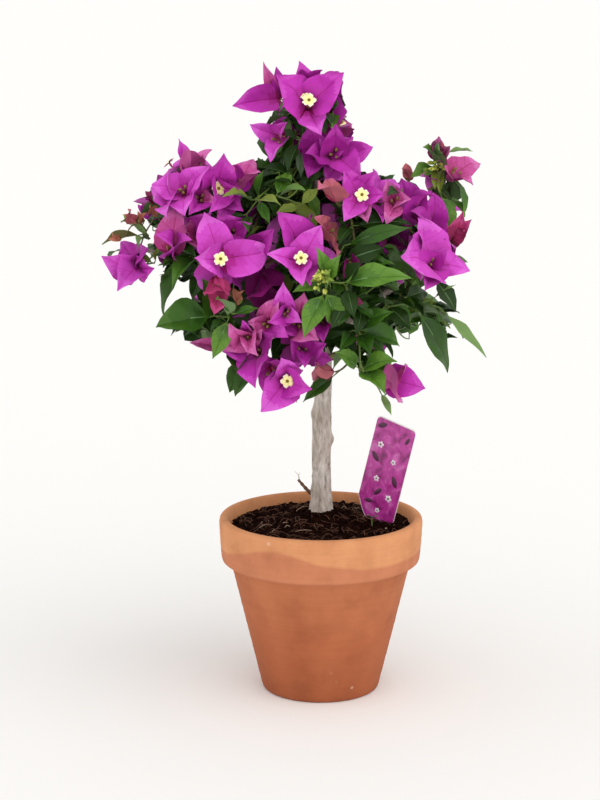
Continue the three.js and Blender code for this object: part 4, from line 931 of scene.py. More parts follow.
def flower(base, axis, length, size, rnd, open_=True, tint="tube_pink"):
    """a slender tube; open, it carries a five-lobed star"""
    axis = unit(axis)
    e1 = unit(np.cross(axis, UP) if abs(axis[2]) < 0.95 else np.cross(axis, [1.0, 0, 0]))
    e2 = np.cross(axis, e1)
    bend = (e1 * rnd.uniform(-1, 1) + e2 * rnd.uniform(-1, 1)) * length * 0.06
    t = np.linspace(0, 1, 9)[:, None]
    path = base + axis * length * t + bend * 4 * t * (1 - t)
    if not open_ and not FINE[0]:
        tube(flowers, path[::2], np.array([0.75, 1.2, 0.78, 1.1, 0.65]), [mats[tint]] * 3 + [mats["tube_olive"]], sides=6)
        return
    if open_:
        radii = np.array([0.9, 1.25, 1.25, 1.05, 0.85, 0.8, 0.9, 1.05, 1.2])
    else:
        radii = np.array([0.8, 1.25, 1.35, 1.1, 0.85, 0.9, 1.25, 1.3, 0.75])
    if open_:
        path = path.copy()
        path[-1] = path[-2] + (path[-1] - path[-2]) * 0.2
    tube(flowers, path, radii * 0.9, [mats[tint]] * 5 + [mats["tube_olive" if not open_ else tint]] * 3, sides=8)
    if not open_:
        return
    c = path[-1] + axis * 1.5
    n_a = 50 if FINE[0] else 30
    rings = [0.0, 0.09, 0.16, 0.24, 0.42, 0.6, 0.78, 0.9, 1.0]
    ang = np.arange(n_a) * 2 * math.pi / n_a
    lobes = np.abs(np.cos(2.5 * ang))
    turn = rnd.uniform(0, 6.28)
    R = size / 2
    # five lobes, each notched in the middle and crinkled
    notch = np.exp(-((1 - lobes) / 0.02) ** 2)
    edge = R * (0.70 + 0.34 * lobes**0.75 - 0.07 * notch) * (1 + 0.045 * np.sin(9 * ang + rnd.uniform(0, 6)))
    top, low = [], []
    lift = [rnd.uniform(-0.5, 0.5) for _ in range(5)]
    lobe_no = np.floor((ang / (2 * math.pi) * 5 + 0.5)) % 5
    lifts = np.array([lift[int(q)] for q in lobe_no]) * lobes
    for r in rings[1:]:
        reach = edge * r if r > 0.3 else R * r * np.ones(n_a)
        dip = -1.6 * max(0, 1 - r / 0.26) + 0.7 * math.sin(r * 2.6) - 1.0 * max(0, r - 0.6) * (1.3 - lobes) + lifts * max(0, r - 0.3) * 1.6
        ruffle = (0.3 * np.sin(15 * ang + 0.6) + 0.55 * (lobes - 0.6)) * max(0, r - 0.3)
        crease = -0.5 * notch * max(0, r - 0.2)
        x, y = np.cos(ang + turn) * reach, np.sin(ang + turn) * reach
        top.append(c + x[:, None] * e1 + y[:, None] * e2 + (dip + ruffle + crease)[:, None] * axis)
    mid = c - axis * 1.6
    verts = [mid[None]] + top
    low = [v - axis * 0.35 for v in top[:-1]]
    verts = np.concatenate(verts + low + [(mid - axis * 0.5)[None]])
    nt_ = len(top)
    j = np.arange(n_a)
    k = (j + 1) % n_a
    tr = [np.stack([np.zeros(n_a, int), 1 + j, 1 + k], 1)]
    qd, qm = [], []
    names = ["throat", "throat", "throat", "cream", "cream", "cream", "cream_pale", "cream_edge"]
    for i in range(nt_ - 1):
        a, b = 1 + i * n_a, 1 + (i + 1) * n_a
        qd.append(np.stack([a + j, b + j, b + k, a + k], 1))
        row_m = np.full(n_a, flowers.slot(mats[names[i + 1]]))
        if i in (3, 4):
            row_m = np.where(notch > 0.5, flowers.slot(mats["cream_pale"]), row_m)
        if i in (2, 3):
            row_m = np.where(lobes < 0.3, flowers.slot(mats["star_olive"]), row_m)
        qm.append(row_m)
    base_low = 1 + nt_ * n_a
    for i in range(nt_ - 1):
        a = base_low + i * n_a
        b = base_low + (i + 1) * n_a if i < nt_ - 2 else 1 + (nt_ - 1) * n_a
        qd.append(np.stack([a + j, a + k, b + k, b + j], 1))
        qm.append(np.full(n_a, flowers.slot(mats["cream_edge" if i > 2 else "tube_olive"])))
    last = base_low + (nt_ - 1) * n_a
    tr.append(np.stack([np.full(n_a, last), base_low + k, base_low + j], 1))
    # axis, e1, e2 may be left-handed: keep the faces pointing out
    tm = np.concatenate([np.full(n_a, flowers.slot(mats["throat"])), np.full(n_a, flowers.slot(mats["tube_olive"]))])
    flip = np.dot(np.cross(e1, e2), axis) < 0
    quads = np.concatenate(qd)
    tris = np.concatenate(tr)
    if flip:
        quads, tris = quads[:, ::-1], tris[:, ::-1]
    flowers.put(verts, quads, np.concatenate(qm), None, tris, tm)


def bloom(base, a, set_, tint, width, rnd, res, stars, kind="bloom"):
    """three bracts round a head of slender flowers"""
    for i, (d, length, j) in enumerate(set_):
        w = length * width * (1 + 0.06 * j[3])
        tip = base + d * length
        face = a + d * 0.05 + np.cross(a, d) * 0.12 * j[4]
        if np.dot(a, d) < -0.2:
            face = a
        if np.dot(a, d) > 0.97:
            face = -LOOK + np.array([0.2 * j[4], 0, 0.15])
        if kind == "bud":
            blade(buds, base, tip, face, w, "bract", bud_tints(tint), rnd, res=1, arch=1.1, fold=30, twist=8 * j[4], wave=0.1, cup=0.35, rough=0.4)
            continue
        t = tint
        if abs(j[5]) > 1.25:
            t = {"B1": "B2", "B2": "B3", "B3": "B2", "B9": "B2"}.get(tint, tint)
        blade(bag_for(bracts), base + d * 0.6, tip, face, w, "bract", bract_tints(t), rnd, res=res, arch=0.8 + 0.25 * j[4], fold=17 + 5 * j[5], twist=10 * j[3], wave=1.0, thick=0.24, cup=0.12, flick=0.35 + 0.25 * j[0], rough=1.45)
        taken.append(base + d * length * 0.3)
        taken.append(base + d * length * 0.65)
        taken.append(tip)
    if kind == "bud" or len(set_) == 1:
        return
    e1, e2 = basis(a)
    open_count = max(0, stars)
    for i in range(3):
        ang = math.radians(i * 120 + 60 + rnd.uniform(-20, 20))
        tilt = 0.24 + rnd.uniform(-0.05, 0.08)
        ax = unit(a + (e1 * math.cos(ang) + e2 * math.sin(ang)) * tilt)
        if i < open_count:
            lean = unit(a + (ax - a) * 0.4) if i == 0 else unit(a + UP * 0.62 + e1 * -0.25)
            flower(base + ax * 1.0, lean, 12.0 + rnd.uniform(-1, 1), rnd.uniform(9.8, 10.8) if i == 0 else 6.6, rnd, True, "tube_pink")
        else:
            flower(base + ax * 0.8, ax, rnd.uniform(9, 12.5) * (0.8 if len(set_) < 3 else 1), 0, rnd, False, rnd.choice(["tube_pink", "tube_red", "tube_red", "tube_dark"]))


def green_head(base, a, count, rnd):
    """a head of tiny unopened bracts at the end of a shoot"""
    for i in range(count):
        d = unit(a + np.array([rnd.gauss(0, 0.55) for _ in range(3)]))
        root = base + np.array([rnd.gauss(0, 1.2) for _ in range(3)])
        out = rnd.uniform(3.5, 9.0)
        tube(twigs, np.linspace(root, root + d * out, 4), [0.42, 0.38, 0.34, 0.32], mats["stem_green"], sides=5)
        for _ in range(3):
            q = unit(d + np.array([rnd.gauss(0, 0.5) for _ in range(3)]))
            blade(buds, root + d * out, root + d * out + q * rnd.uniform(3.2, 5.8), a, rnd.uniform(2.1, 3.2), "leaf", bud_tints(rnd.choice(("Y1", "Y1", "L5"))), rnd, res=1, arch=0.6, fold=24, wave=0.05, thick=0.2, rough=0.1)


def bud_tints(t):
    if t in LEAF:
        return (t, t, t, "L7", t, t, t)
    return (t, BRACT_NEXT[t], t, "L8", t, BRACT_NEXT[t], t)


# the leaves it sets inside the masses take the dark greens: painted shade
def dress(path, mass, rnd, first=0.2, last=0.82, gap=9.0, size=(20, 34), tints=("L4", "L3"), inside=2.0, res=0):
    """alternate leaves along a shoot, kept inside the masses the frame gives"""
    seg = np.linalg.norm(np.diff(path, axis=0), axis=1)
    run = np.concatenate([[0], np.cumsum(seg)])
    total = run[-1]
    tan = np.gradient(path, axis=0)
    s = total * first + rnd.uniform(0, gap)
    turn = rnd.uniform(0, 360)
    while s < total * last:
        p = np.array([np.interp(s, run, path[:, k]) for k in range(3)])
        t = unit(np.array([np.interp(s, run, tan[:, k]) for k in range(3)]))
        turn += 137.5
        e = unit(np.cross(t, UP) + 1e-3)
        f = np.cross(t, e)
        b = math.radians(turn + rnd.gauss(0, 12))
        o = math.radians(rnd.uniform(48, 78))
        d = unit(t * math.cos(o) + (e * math.cos(b) + f * math.sin(b)) * math.sin(o) + UP * rnd.uniform(-0.15, 0.25))
        length = rnd.uniform(*size)
        for _ in range(3):
            if depth_in(p + d * length) > inside and not open_there(p + d * length, p + d * length * 0.5, slack=-1.5) and not hides(p + d * length, p + d * length * 0.5):
                break
            length *= 0.76
        else:
            s += gap * rnd.uniform(0.7, 1.3)
            continue
        if length > 12:
            small_leaf(p, d, length, rnd.choice(tints), rnd, res=res)
        s += gap * rnd.uniform(0.7, 1.3)


later = []
for mass, rows in SPRAYS.items():
    lo, hi = MASS_BOX[mass]
    for kind, tint, at, az, el, spin, spread, size, n, seed, wide, stars in rows:
        a, set_, rnd = node(kind, az, el, spin, spread, size, n, seed)
        base = lo + np.array(at) * (hi - lo)
        heart = (np.array([LIMBS[FEEDERS[mass]][1]])[0] + (lo + hi) / 2) / 2
        inward = unit(base - heart)
        heading = unit(a * (0.9 if kind != "leaf" else 0.35) + inward * 0.7)
        thick = {"bloom": 0.85, "leaf": 0.75, "bud": 0.6}[kind]
        colour = {"bloom": "stem_olive", "leaf": "stem_green", "bud": "stem_olive"}[kind]
        path = shoot(mass, base, heading, rnd, thick, colour)
        later.append((path, mass, rnd))
        if kind == "leaf":
            for d, length, j in set_:
                tip = base + d * length
                stalk = base + d * min(5.0, length * 0.14)
                tube(twigs, np.linspace(base, stalk, 4), [0.6, 0.5, 0.45, 0.42], mats["stem_green"], sides=6)
                out = unit(np.array([base[0] + 16, base[1], (base[2] - 350) * 0.5]))
                face = UP * 0.75 + np.array([0, -0.55, 0]) + out * 0.35 + np.array([0.18 * j[3], 0.1 * j[4], 0.1 * j[5]])
                blade(bag_for(leaves), stalk - d * 0.4, tip, face, length * wide, "leaf", leaf_tints(tint), rnd, res=2, arch=0.5 + 0.18 * j[4], fold=20 + 6 * j[5], twist=12 * j[3], wave=0.6, thick=0.34, flick=0.3, rough=0.7)
                taken.append(base + d * length * 0.35)
                taken.append(base + d * length * 0.7)
                taken.append(tip)
            if stars > 0:
                green_head(base + np.array([0.0, -4.0, 0.0]), unit(a * 0.4 + np.array([0.0, -0.8, 0.35])), stars + 4, rnd)
        else:
            bloom(base, a, set_, tint, wide, rnd, 2, stars, kind)
SEEN = np.array([(*sight(q), (q - EYE) @ LOOK) for q in taken])


def hides(*points, reach=11.0):
    """whether a point stands before a bract or leaf of the front sprays"""
    for p in points:
        x, u = sight(np.asarray(p, float))
        dep = (np.asarray(p, float) - EYE) @ LOOK
        if np.any((SEEN[:, 0] - x) ** 2 + (SEEN[:, 1] - u) ** 2 + np.where(dep < SEEN[:, 2] + 3, 0, 1e6) < reach * reach):
            return True
    return False


for path, mass, rnd in later:
    dress(path, mass, rnd, first=0.25, last=0.8, gap=10.0, size=(18, 32), tints=("L4", "L4", "L3"), inside=5.0)
print("heroes", sum(b.faces for b in bracts), sum(b.faces for b in leaves), twigs.faces, flowers.faces)


# ------------------------------------------------------------------ the rest of the crown, all round
def surface_points(mass, spacing, rnd, tries=900):
    co, tri = MASS_MESH[mass]
    a, b, c = co[tri[:, 0]], co[tri[:, 1]], co[tri[:, 2]]
    nrm = np.cross(b - a, c - a)
    area = np.linalg.norm(nrm, axis=1)
    nrm = nrm / (area[:, None] + 1e-12)
    cum = np.cumsum(area) / area.sum()
    got = []
    for _ in range(tries):
        k = int(np.searchsorted(cum, rnd.random()))
        u, v = rnd.random(), rnd.random()
        if u + v > 1:
            u, v = 1 - u, 1 - v
        p = a[k] + (b[k] - a[k]) * u + (c[k] - a[k]) * v
        if all(np.linalg.norm(p - q[0]) > spacing for q in got):
            got.append((p, nrm[k]))
    return got


MIXES = {
    "bloom": ("B1", "B2", "B2", "B1", "B3", "B9", "B2", "B1", "B9"),
    "leaf": ("L2", "L3", "L1", "L2", "L9", "L1", "L3", "L7"),
}
fills = 0
FINE[0] = False
placed = [t for t in taken]
for order, mass in enumerate(FEEDERS):
    rnd = random.Random(5200 + order)
    lo, hi = MASS_BOX[mass]
    centre = (lo + hi) / 2
    for p, n in surface_points(mass, 14.0, rnd):
        # skip the walls between neighbouring masses
        if depth_in(p + n * 5.0) > 0.5:
            continue
        facing = float(np.dot(n, LOOK))
        near = min((np.linalg.norm(p - q) for q in placed), default=99)
        front = facing < -0.22 or (p[1] < -30 and facing < 0.05)
        if front and (mass in SPRAYS):
            continue
        rear = mass.startswith("back_")
        blossom = rnd.random() < (0.32 if mass in GREEN else 0.9 if rear else 0.82)
        if n[2] < -0.45 and rnd.random() < 0.7:
            blossom = False
        if near < ((15.5 if rear else 18.0) if blossom else 11.0):
            continue
        out = unit(n + UP * 0.25 + unit(p - np.array([-16, 5, 330])) * 0.5 + np.array([rnd.gauss(0, 0.25) for _ in range(3)]))
        size = rnd.uniform(29, 36) if blossom else rnd.uniform(28, 47)
        spread = rnd.uniform(46, 74)
        base = p - n * (5.0 + size * math.cos(math.radians(spread)) * 0.75)
        if blossom:
            az = math.degrees(math.atan2(out[0], -out[1]))
            el = math.degrees(math.asin(max(-1, min(1, out[2]))))
            a, set_, r2 = node("bloom", az, el, rnd.uniform(0, 120), spread, size, 3, rnd.randrange(1 << 30))
            kept = []
            for d, length, j in set_:
                while length > 19 and (depth_in(base + d * length) < -9.0 or open_there(base + d * length, base + d * length * 0.75, base + d * length * 0.5, slack=-4.0) or hides(base + d * length, base + d * length * 0.5)):
                    length *= 0.88
                if length > 19:
                    kept.append((d, length, j))
            if len(kept) < 2:
                continue
            path = shoot(mass, base, unit(a + unit(base - centre) * 0.5), r2, 0.85, "stem_olive")
            dress(path, mass, r2, first=0.25, last=0.85, gap=10.0, size=(18, 32), tints=("L4", "L3", "L2"), inside=3.0)
            bloom(base, a, kept, rnd.choice(MIXES["bloom"]), r2.uniform(0.72, 0.86), r2, 1, 1 if r2.random() < 0.24 else -1)
            placed.append(p)
            fills += 1
        else:
            az = math.degrees(math.atan2(out[0], -out[1]))
            el = math.degrees(math.asin(max(-1, min(1, out[2])))) - 10
            a, set_, r2 = node("leaf", az, el, rnd.uniform(0, 360), rnd.uniform(35, 70), size, rnd.choice((2, 3, 3)), rnd.randrange(1 << 30))
            path = shoot(mass, base, unit(a + unit(base - centre) * 0.5), r2, 0.7, "stem_green")
            dress(path, mass, r2, first=0.25, last=0.85, gap=9.0, size=(18, 32), tints=("L4", "L3", "L2"), inside=3.0)
            t = rnd.choice(MIXES["leaf"])
            for d, length, j in set_:
                while length > 15 and (depth_in(base + d * length) < -8.0 or open_there(base + d * length, base + d * length * 0.7, base + d * length * 0.4, slack=-2.5) or hides(base + d * length, base + d * length * 0.5)):
                    length *= 0.86
                if length <= 15:
                    continue
                small_leaf(base, d, length, t, r2, res=1, droop=0.08)
                placed.append(base + d * length * 0.7)
            fills += 1
print("fills", fills, [b.faces for b in bracts], [b.faces for b in leaves], twigs.faces, flowers.faces)

# leaves deep in the crown, so that it closes behind the sprays, in the darkest greens: painted shade; the outer sprays
# stay airy
DENSITY = {
    "upper_centre": 2.2, "centre_left": 1.9, "centre_right": 2.0, "leaf_front": 1.4, "lower_centre": 1.3, "back_centre": 2.0,
    "upper_left": 1.1, "top": 0.8, "left_inner": 1.2, "right": 1.0, "right_upper": 1.2, "left_spray": 0.0, "right_tip": 0.15,
    "right_droop": 0.35, "low_right": 0.8, "low_right_tip": 0.0, "bottom_front": 0.5, "lower_left": 0.5,
}
inner = 0
for order, mass in enumerate(FEEDERS):
    rnd = random.Random(9100 + order)
    lo, hi = MASS_BOX[mass]
    vol = float(np.prod(hi - lo))
    want = int(vol / 8600 * DENSITY.get(mass, 1.0))
    tries = 0
    while want > 0 and tries < 1500:
        tries += 1
        p = np.array([rnd.uniform(lo[k], hi[k]) for k in range(3)])
        if not 7.0 < depth_in(p, 4.0) < 26.0:
            continue
        out = unit(unit(p - np.array([-16, 5, 325])) + np.array([rnd.gauss(0, 0.6) for _ in range(3)]))
        length = rnd.uniform(18, 32)
        if depth_in(p + out * length) < 4.0 or open_there(p + out * length, p) or hides(p + out * length):
            length = 15.0
            if depth_in(p + out * length) < 3.0 or open_there(p + out * length, p) or hides(p + out * length):
                continue
        small_leaf(p, out, length, rnd.choice(("L4", "L4", "L4", "L3")), rnd, res=3, droop=0.05, width=rnd.uniform(0.44, 0.6))
        if inner % 2:
            shoot(mass, p, out, rnd, 0.6, "stem_green", steps=6, keep=False, sides=5)
        want -= 1
        inner += 1
# the crown's heart: broad leaves round its middle, which no light comes through, in the darkest greens: painted shade
rnd = random.Random(31337)
span = CROWN_HI - CROWN_LO
heart_at = CROWN_LO + span * np.array([0.48, 0.52, 0.47])
heart_r = span * np.array([0.25, 0.30, 0.24])
core = 0
while core < 640:
    v = np.array([rnd.gauss(0, 0.55) for _ in range(3)])
    p = heart_at + v * heart_r
    if np.linalg.norm(v) > 1.05:
        continue
    out = unit(v * np.array([1, 1, 0.8]) + np.array([rnd.gauss(0, 0.5) for _ in range(3)]))
    core += 1
    length = rnd.uniform(22, 34)
    if open_there(p, p + out * length) or hides(p + out * length, p) or (np.linalg.norm(v) > 0.8 and depth_in(p + out * length) < 2.0):
        continue
    side_on = unit(np.array([rnd.gauss(0, 1), rnd.gauss(0, 1), rnd.gauss(0, 0.4)]))
    blade(bag_for(leaves), p, p + out * length, side_on, length * rnd.uniform(0.5, 0.66), "leaf", leaf_tints(rnd.choice(("L4", "L0", "L0"))), rnd, res=3, arch=0.5, fold=14, twist=rnd.gauss(0, 14), wave=0.5, thick=0.3, rough=0.6)
    if core % 3 == 0:
        shoot(rnd.choice(("upper_centre", "centre_left", "centre_right", "back_centre", "left_inner", "lower_centre", "right_upper")), p, out, rnd, 0.7, "stem_brown", steps=6, keep=False, sides=5)
print("inner", inner, sum(b.faces for b in leaves))


# ------------------------------------------------------------------ trunk and boughs with the bark's relief
def patterned(name):
    m, nt, bsdf = nodes_of(name)
    co = add(nt, "ShaderNodeTexCoord")
    return m, nt, bsdf, co


def mapped(nt, co, scale):
    mp = add(nt, "ShaderNodeMapping")
    mp.inputs["Scale"].default_value = scale
    nt.links.new(co.outputs["Object"], mp.inputs["Vector"])
    return mp


bark, nt, bsdf, co = patterned("bark_old")
mp = mapped(nt, co, (360, 360, 110))
n1 = add(nt, "ShaderNodeTexNoise", Scale=1.0, Detail=6.0, Roughness=0.65)
nt.links.new(mp.outputs["Vector"], n1.inputs["Vector"])
r1 = ramp(nt, n1.outputs["Fac"], [(0.27, lin((118, 106, 98))), (0.38, lin((184, 174, 166))), (0.56, lin((218, 210, 203))), (0.74, lin((238, 233, 228)))])
mp2 = mapped(nt, co, (60, 60, 34))
n2 = add(nt, "ShaderNodeTexNoise", Scale=1.0, Detail=3.0)
nt.links.new(mp2.outputs["Vector"], n2.inputs["Vector"])
r2 = ramp(nt, n2.outputs["Fac"], [(0.35, lin((226, 216, 206))), (0.62, lin((255, 253, 250)))])
mix = add(nt, "ShaderNodeMix", data_type="RGBA", blend_type="MULTIPLY")
mix.inputs[0].default_value = 0.8
nt.links.new(r1.outputs["Color"], mix.inputs[6])
nt.links.new(r2.outputs["Color"], mix.inputs[7])
nt.links.new(mix.outputs[2], bsdf.inputs["Base Color"])
rr = ramp(nt, n1.outputs["Fac"], [(0.3, (0.95, 0.95, 0.95, 1)), (0.7, (0.72, 0.72, 0.72, 1))])
nt.links.new(rr.outputs["Color"], bsdf.inputs["Roughness"])
bsdf.inputs["Specular IOR Level"].default_value = 0.25
fine = add(nt, "ShaderNodeTexNoise", Scale=1500.0, Detail=3.0)
nt.links.new(co.outputs["Object"], fine.inputs["Vector"])
bump_chain(nt, bsdf, [(n1.outputs["Fac"], 0.55, 0.0009), (fine.outputs["Fac"], 0.25, 0.0003)])

young, nt, bsdf, co = patterned("bark_young")
mp = mapped(nt, co, (500, 500, 200))
n1 = add(nt, "ShaderNodeTexNoise", Scale=1.0, Detail=5.0)
nt.links.new(mp.outputs["Vector"], n1.inputs["Vector"])
r1 = ramp(nt, n1.outputs["Fac"], [(0.32, lin((76, 66, 40))), (0.52, lin((112, 100, 64))), (0.72, lin((140, 126, 92)))])
nt.links.new(r1.outputs["Color"], bsdf.inputs["Base Color"])
bsdf.inputs["Roughness"].default_value = 0.7
bsdf.inputs["Specular IOR Level"].default_value = 0.3
bump_chain(nt, bsdf, [(n1.outputs["Fac"], 0.5, 0.0006)])

STATIONS = [
    (108, 0.2, 18.6, 8.2), (112, 0.2, 18.5, 8.6), (128, 0.3, 18.4, 10.1), (138, 0.4, 18.2, 9.5), (148, 0.5, 18, 8.3), (160, 0.7, 17.8, 7.6),
    (178, 0.4, 17.4, 7.3), (196, 0.6, 16.8, 7.5), (214, 0.9, 16.1, 7.4), (232, 1.6, 15.2, 7.1), (250, 2, 14, 6.9),
    (266, 1.8, 12.6, 6.8), (282, 0.8, 10.6, 6), (300, -1, 8, 4.6),
]
KNOTS = [(219, 190, 2.0, 5), (197, 6, 2.4, 4.5), (155, 195, 1.4, 4), (241, 300, 1.2, 5), (262, 250, 1.2, 5), (176, 262, 0.9, 4), (150, 310, 1.1, 4)]


def catmull(xs, ys, x):
    """smooth curve through the stations"""
    xs, ys = np.asarray(xs, float), np.asarray(ys, float)
    m = np.gradient(ys, xs)
    k = np.clip(np.searchsorted(xs, x) - 1, 0, len(xs) - 2)
    h = xs[k + 1] - xs[k]
    t = (x - xs[k]) / h
    return (2 * t**3 - 3 * t**2 + 1) * ys[k] + (t**3 - 2 * t**2 + t) * h * m[k] + (-2 * t**3 + 3 * t**2) * ys[k + 1] + (t**3 - t**2) * h * m[k + 1]


def closed_grid(bag, rings, material, quv=True):
    """a closed skin over rings of points, with a fan at each end"""
    rings = np.asarray(rings, float)
    n, s, _ = rings.shape
    verts = np.concatenate([rings.reshape(-1, 3), rings[0].mean(0)[None], rings[-1].mean(0)[None]])
    j = np.arange(s)
    k = (j + 1) % s
    quads = np.concatenate([np.stack([i * s + j, i * s + k, (i + 1) * s + k, (i + 1) * s + j], 1) for i in range(n - 1)])
    tris = np.concatenate([np.stack([np.full(s, n * s), k, j], 1), np.stack([np.full(s, n * s + 1), (n - 1) * s + j, (n - 1) * s + k], 1)])
    sl = bag.slot(material)
    uv = np.concatenate([np.stack([np.stack([j / s, np.full(s, i / n)], 1), np.stack([(j + 1) / s, np.full(s, i / n)], 1), np.stack([(j + 1) / s, np.full(s, (i + 1) / n)], 1), np.stack([j / s, np.full(s, (i + 1) / n)], 1)], 1) for i in range(n - 1)])
    bag.put(verts, quads, np.full(len(quads), sl), uv, tris, np.full(len(tris), sl))


zs = [s[0] for s in STATIONS]
z = np.linspace(112.4, 299.8, 250)
cx, cy, cr = (catmull(zs, [s[i] for s in STATIONS], z) for i in (1, 2, 3))
A = 96
ang = np.arange(A) * 2 * math.pi / A
ZZ, AA = np.meshgrid(z, ang, indexing="ij")
RR = np.repeat(cr[:, None], A, 1)
for kz, kb, size, halfh in KNOTS:
    da = np.angle(np.exp(1j * (AA - math.radians(kb))))
    RR = RR + size * np.exp(-(((ZZ - kz) / halfh) ** 2) - (da / 0.55) ** 2)
ux, uy = np.cos(AA), np.sin(AA)
RR = RR * (1 + 0.035 * np.sin(AA * 2 + ZZ * 0.018) + 0.025 * np.sin(AA * 3 - ZZ * 0.03 + 1) + 0.02 * np.sin(AA * 5 + ZZ * 0.012 + 2))
warp = 1.4 * fbm(ux * 1.5, uy * 1.5, ZZ * 0.05, 5, 2)
ridge = np.abs(fbm(ux * 7 + warp, uy * 7 + warp, ZZ * 0.055, 11, 3) - 0.5) * 2
crack = np.exp(-((ridge / 0.11) ** 2))
lump = fbm(ux * 3, uy * 3, ZZ * 0.09, 31, 3) - 0.5
grit = fbm(ux * 18, uy * 18, ZZ * 0.45, 51, 2) - 0.5
RR = RR + 1.0 * lump - 0.75 * crack + 0.35 * grit
flare = np.clip((140 - ZZ) / 22, 0, 1)
RR = RR + flare * 0.9 * np.sin(AA * 5 + 0.6)
rings = np.stack([cx[:, None] + RR * ux, cy[:, None] + RR * uy, ZZ], 2)
trunk_bag = Bag("trunk_bark")
closed_grid(trunk_bag, rings, bark)
trunk = trunk_bag.make("bark", sharp=None)
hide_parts("trunk")

boughs_bag = Bag("boughs_bark")
for idx, (name, (a, b, radii, arc)) in enumerate(LIMBS.items()):
    n, s = (52, 18) if name != "twig_low_right_tip" else (24, 12)
    path = limb_path(name, n)
    tan = np.gradient(path, axis=0)
    tan /= np.linalg.norm(tan, axis=1)[:, None]
    side = unit(np.cross(tan[0], [0.3, 1, 0.1]))
    an = np.arange(s) * 2 * math.pi / s
    rings = []
    for i in range(n):
        side = unit(side - tan[i] * np.dot(side, tan[i]))
        other = np.cross(tan[i], side)
        f = i / (n - 1)
        r = radii[0] + (radii[1] - radii[0]) * f
        r = r + 0.9 * max(0, 1 - f * 9) ** 2
        q = path[i] + 0 * an[:, None]
        wob = fbm(np.cos(an) * 2.2, np.sin(an) * 2.2, np.full(s, i * 0.22), 70 + idx, 3) - 0.5
        crk = np.exp(-((np.abs(fbm(np.cos(an) * 5, np.sin(an) * 5, np.full(s, i * 0.1), 90 + idx, 2) - 0.5) * 2 / 0.12) ** 2))
        knot = 0.35 * max(0.0, math.sin(i * 0.62 + idx)) ** 8
        rad = r * (1 + 0.28 * wob) - 0.22 * crk * r / 3 + knot
        rings.append(path[i] + rad[:, None] * (np.cos(an)[:, None] * side + np.sin(an)[:, None] * other))
    closed_grid(boughs_bag, rings, bark if radii[0] > 3.2 else young)
boughs = boughs_bag.make("young_bark", sharp=None)
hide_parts(*LIMBS)

# side stub with its thin dry rootlets
stub_bag = Bag("dry_stub")
dry, nt, bsdf, co = patterned("dry_wood")
mp = mapped(nt, co, (600, 600, 300))
n1 = add(nt, "ShaderNodeTexNoise", Scale=1.0, Detail=5.0)
nt.links.new(mp.outputs["Vector"], n1.inputs["Vector"])
r1 = ramp(nt, n1.outputs["Fac"], [(0.35, lin((84, 52, 38))), (0.6, lin((124, 86, 66))), (0.8, lin((168, 140, 118)))])
nt.links.new(r1.outputs["Color"], bsdf.inputs["Base Color"])
bsdf.inputs["Roughness"].default_value = 0.8
bump_chain(nt, bsdf, [(n1.outputs["Fac"], 0.5, 0.0005)])
pale, nt, bsdf, co = patterned("pale_fibre")
n1 = add(nt, "ShaderNodeTexNoise", Scale=900.0, Detail=3.0)
nt.links.new(co.outputs["Object"], n1.inputs["Vector"])
r1 = ramp(nt, n1.outputs["Fac"], [(0.35, lin((150, 118, 90))), (0.65, lin((206, 182, 154)))])
nt.links.new(r1.outputs["Color"], bsdf.inputs["Base Color"])
bsdf.inputs["Roughness"].default_value = 0.8
bump_chain(nt, bsdf, [(n1.outputs["Fac"], 0.3, 0.0003)])
p = bezier(np.array([-4.6, 17.6, 150.4]), np.array([-10, 16.6, 154]), np.array([-14, 15.4, 160]), np.array([-17.6, 14.5, 164.3]), 22)
tube(stub_bag, p, 1.75 - 0.7 * np.linspace(0, 1, 22) + 0.16 * np.sin(np.arange(22) * 1.3), dry, sides=14)
for end, mid in (((-20.4, 13.6, 171.5), (-17.4, 14, 168)), ((-16.6, 14.2, 170.6), (-17.8, 14.4, 167))):
    q = bezier(p[-2], np.array(mid) + 0.5, np.array(mid), np.array(end), 12)
    tube(stub_bag, q, np.linspace(0.34, 0.14, 12), pale, sides=6)
stub = stub_bag.make("bark", sharp=None)
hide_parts("side_stub")

# ------------------------------------------------------------------ pot
PROFILE = [
    (0, 0), (30, 0), (44.2, 0), (45.3, 0.15), (46.1, 0.7), (46.6, 1.8), (52.7, 27.5), (58.7, 52.8), (64.6, 77.7), (70.2, 100.6), (70.9, 102.6), (72.2, 103.5),
    (74.4, 103.9), (76.4, 104.3), (77.7, 105.3), (78.2, 107), (78.7, 114), (79.2, 121), (79.6, 128), (79.95, 134.5), (79.9, 136.8), (79.2, 138.6), (77.8, 139.6), (76, 140), (74.6, 139.8),
    (73.5, 139.1), (72.7, 137.5), (68, 118), (62, 93), (55, 64.5), (48, 35.8), (42.2, 12.2), (41, 10.2), (38.6, 9.1), (20, 9), (0, 9),
]
pr = np.array(PROFILE, float)
seg = np.concatenate([[0], np.cumsum(np.hypot(*np.diff(pr, axis=0).T))])
u = np.unique(np.concatenate([np.linspace(0, seg[-1], 280), seg]))
rad, hgt = np.interp(u, seg, pr[:, 0]), np.interp(u, seg, pr[:, 1])
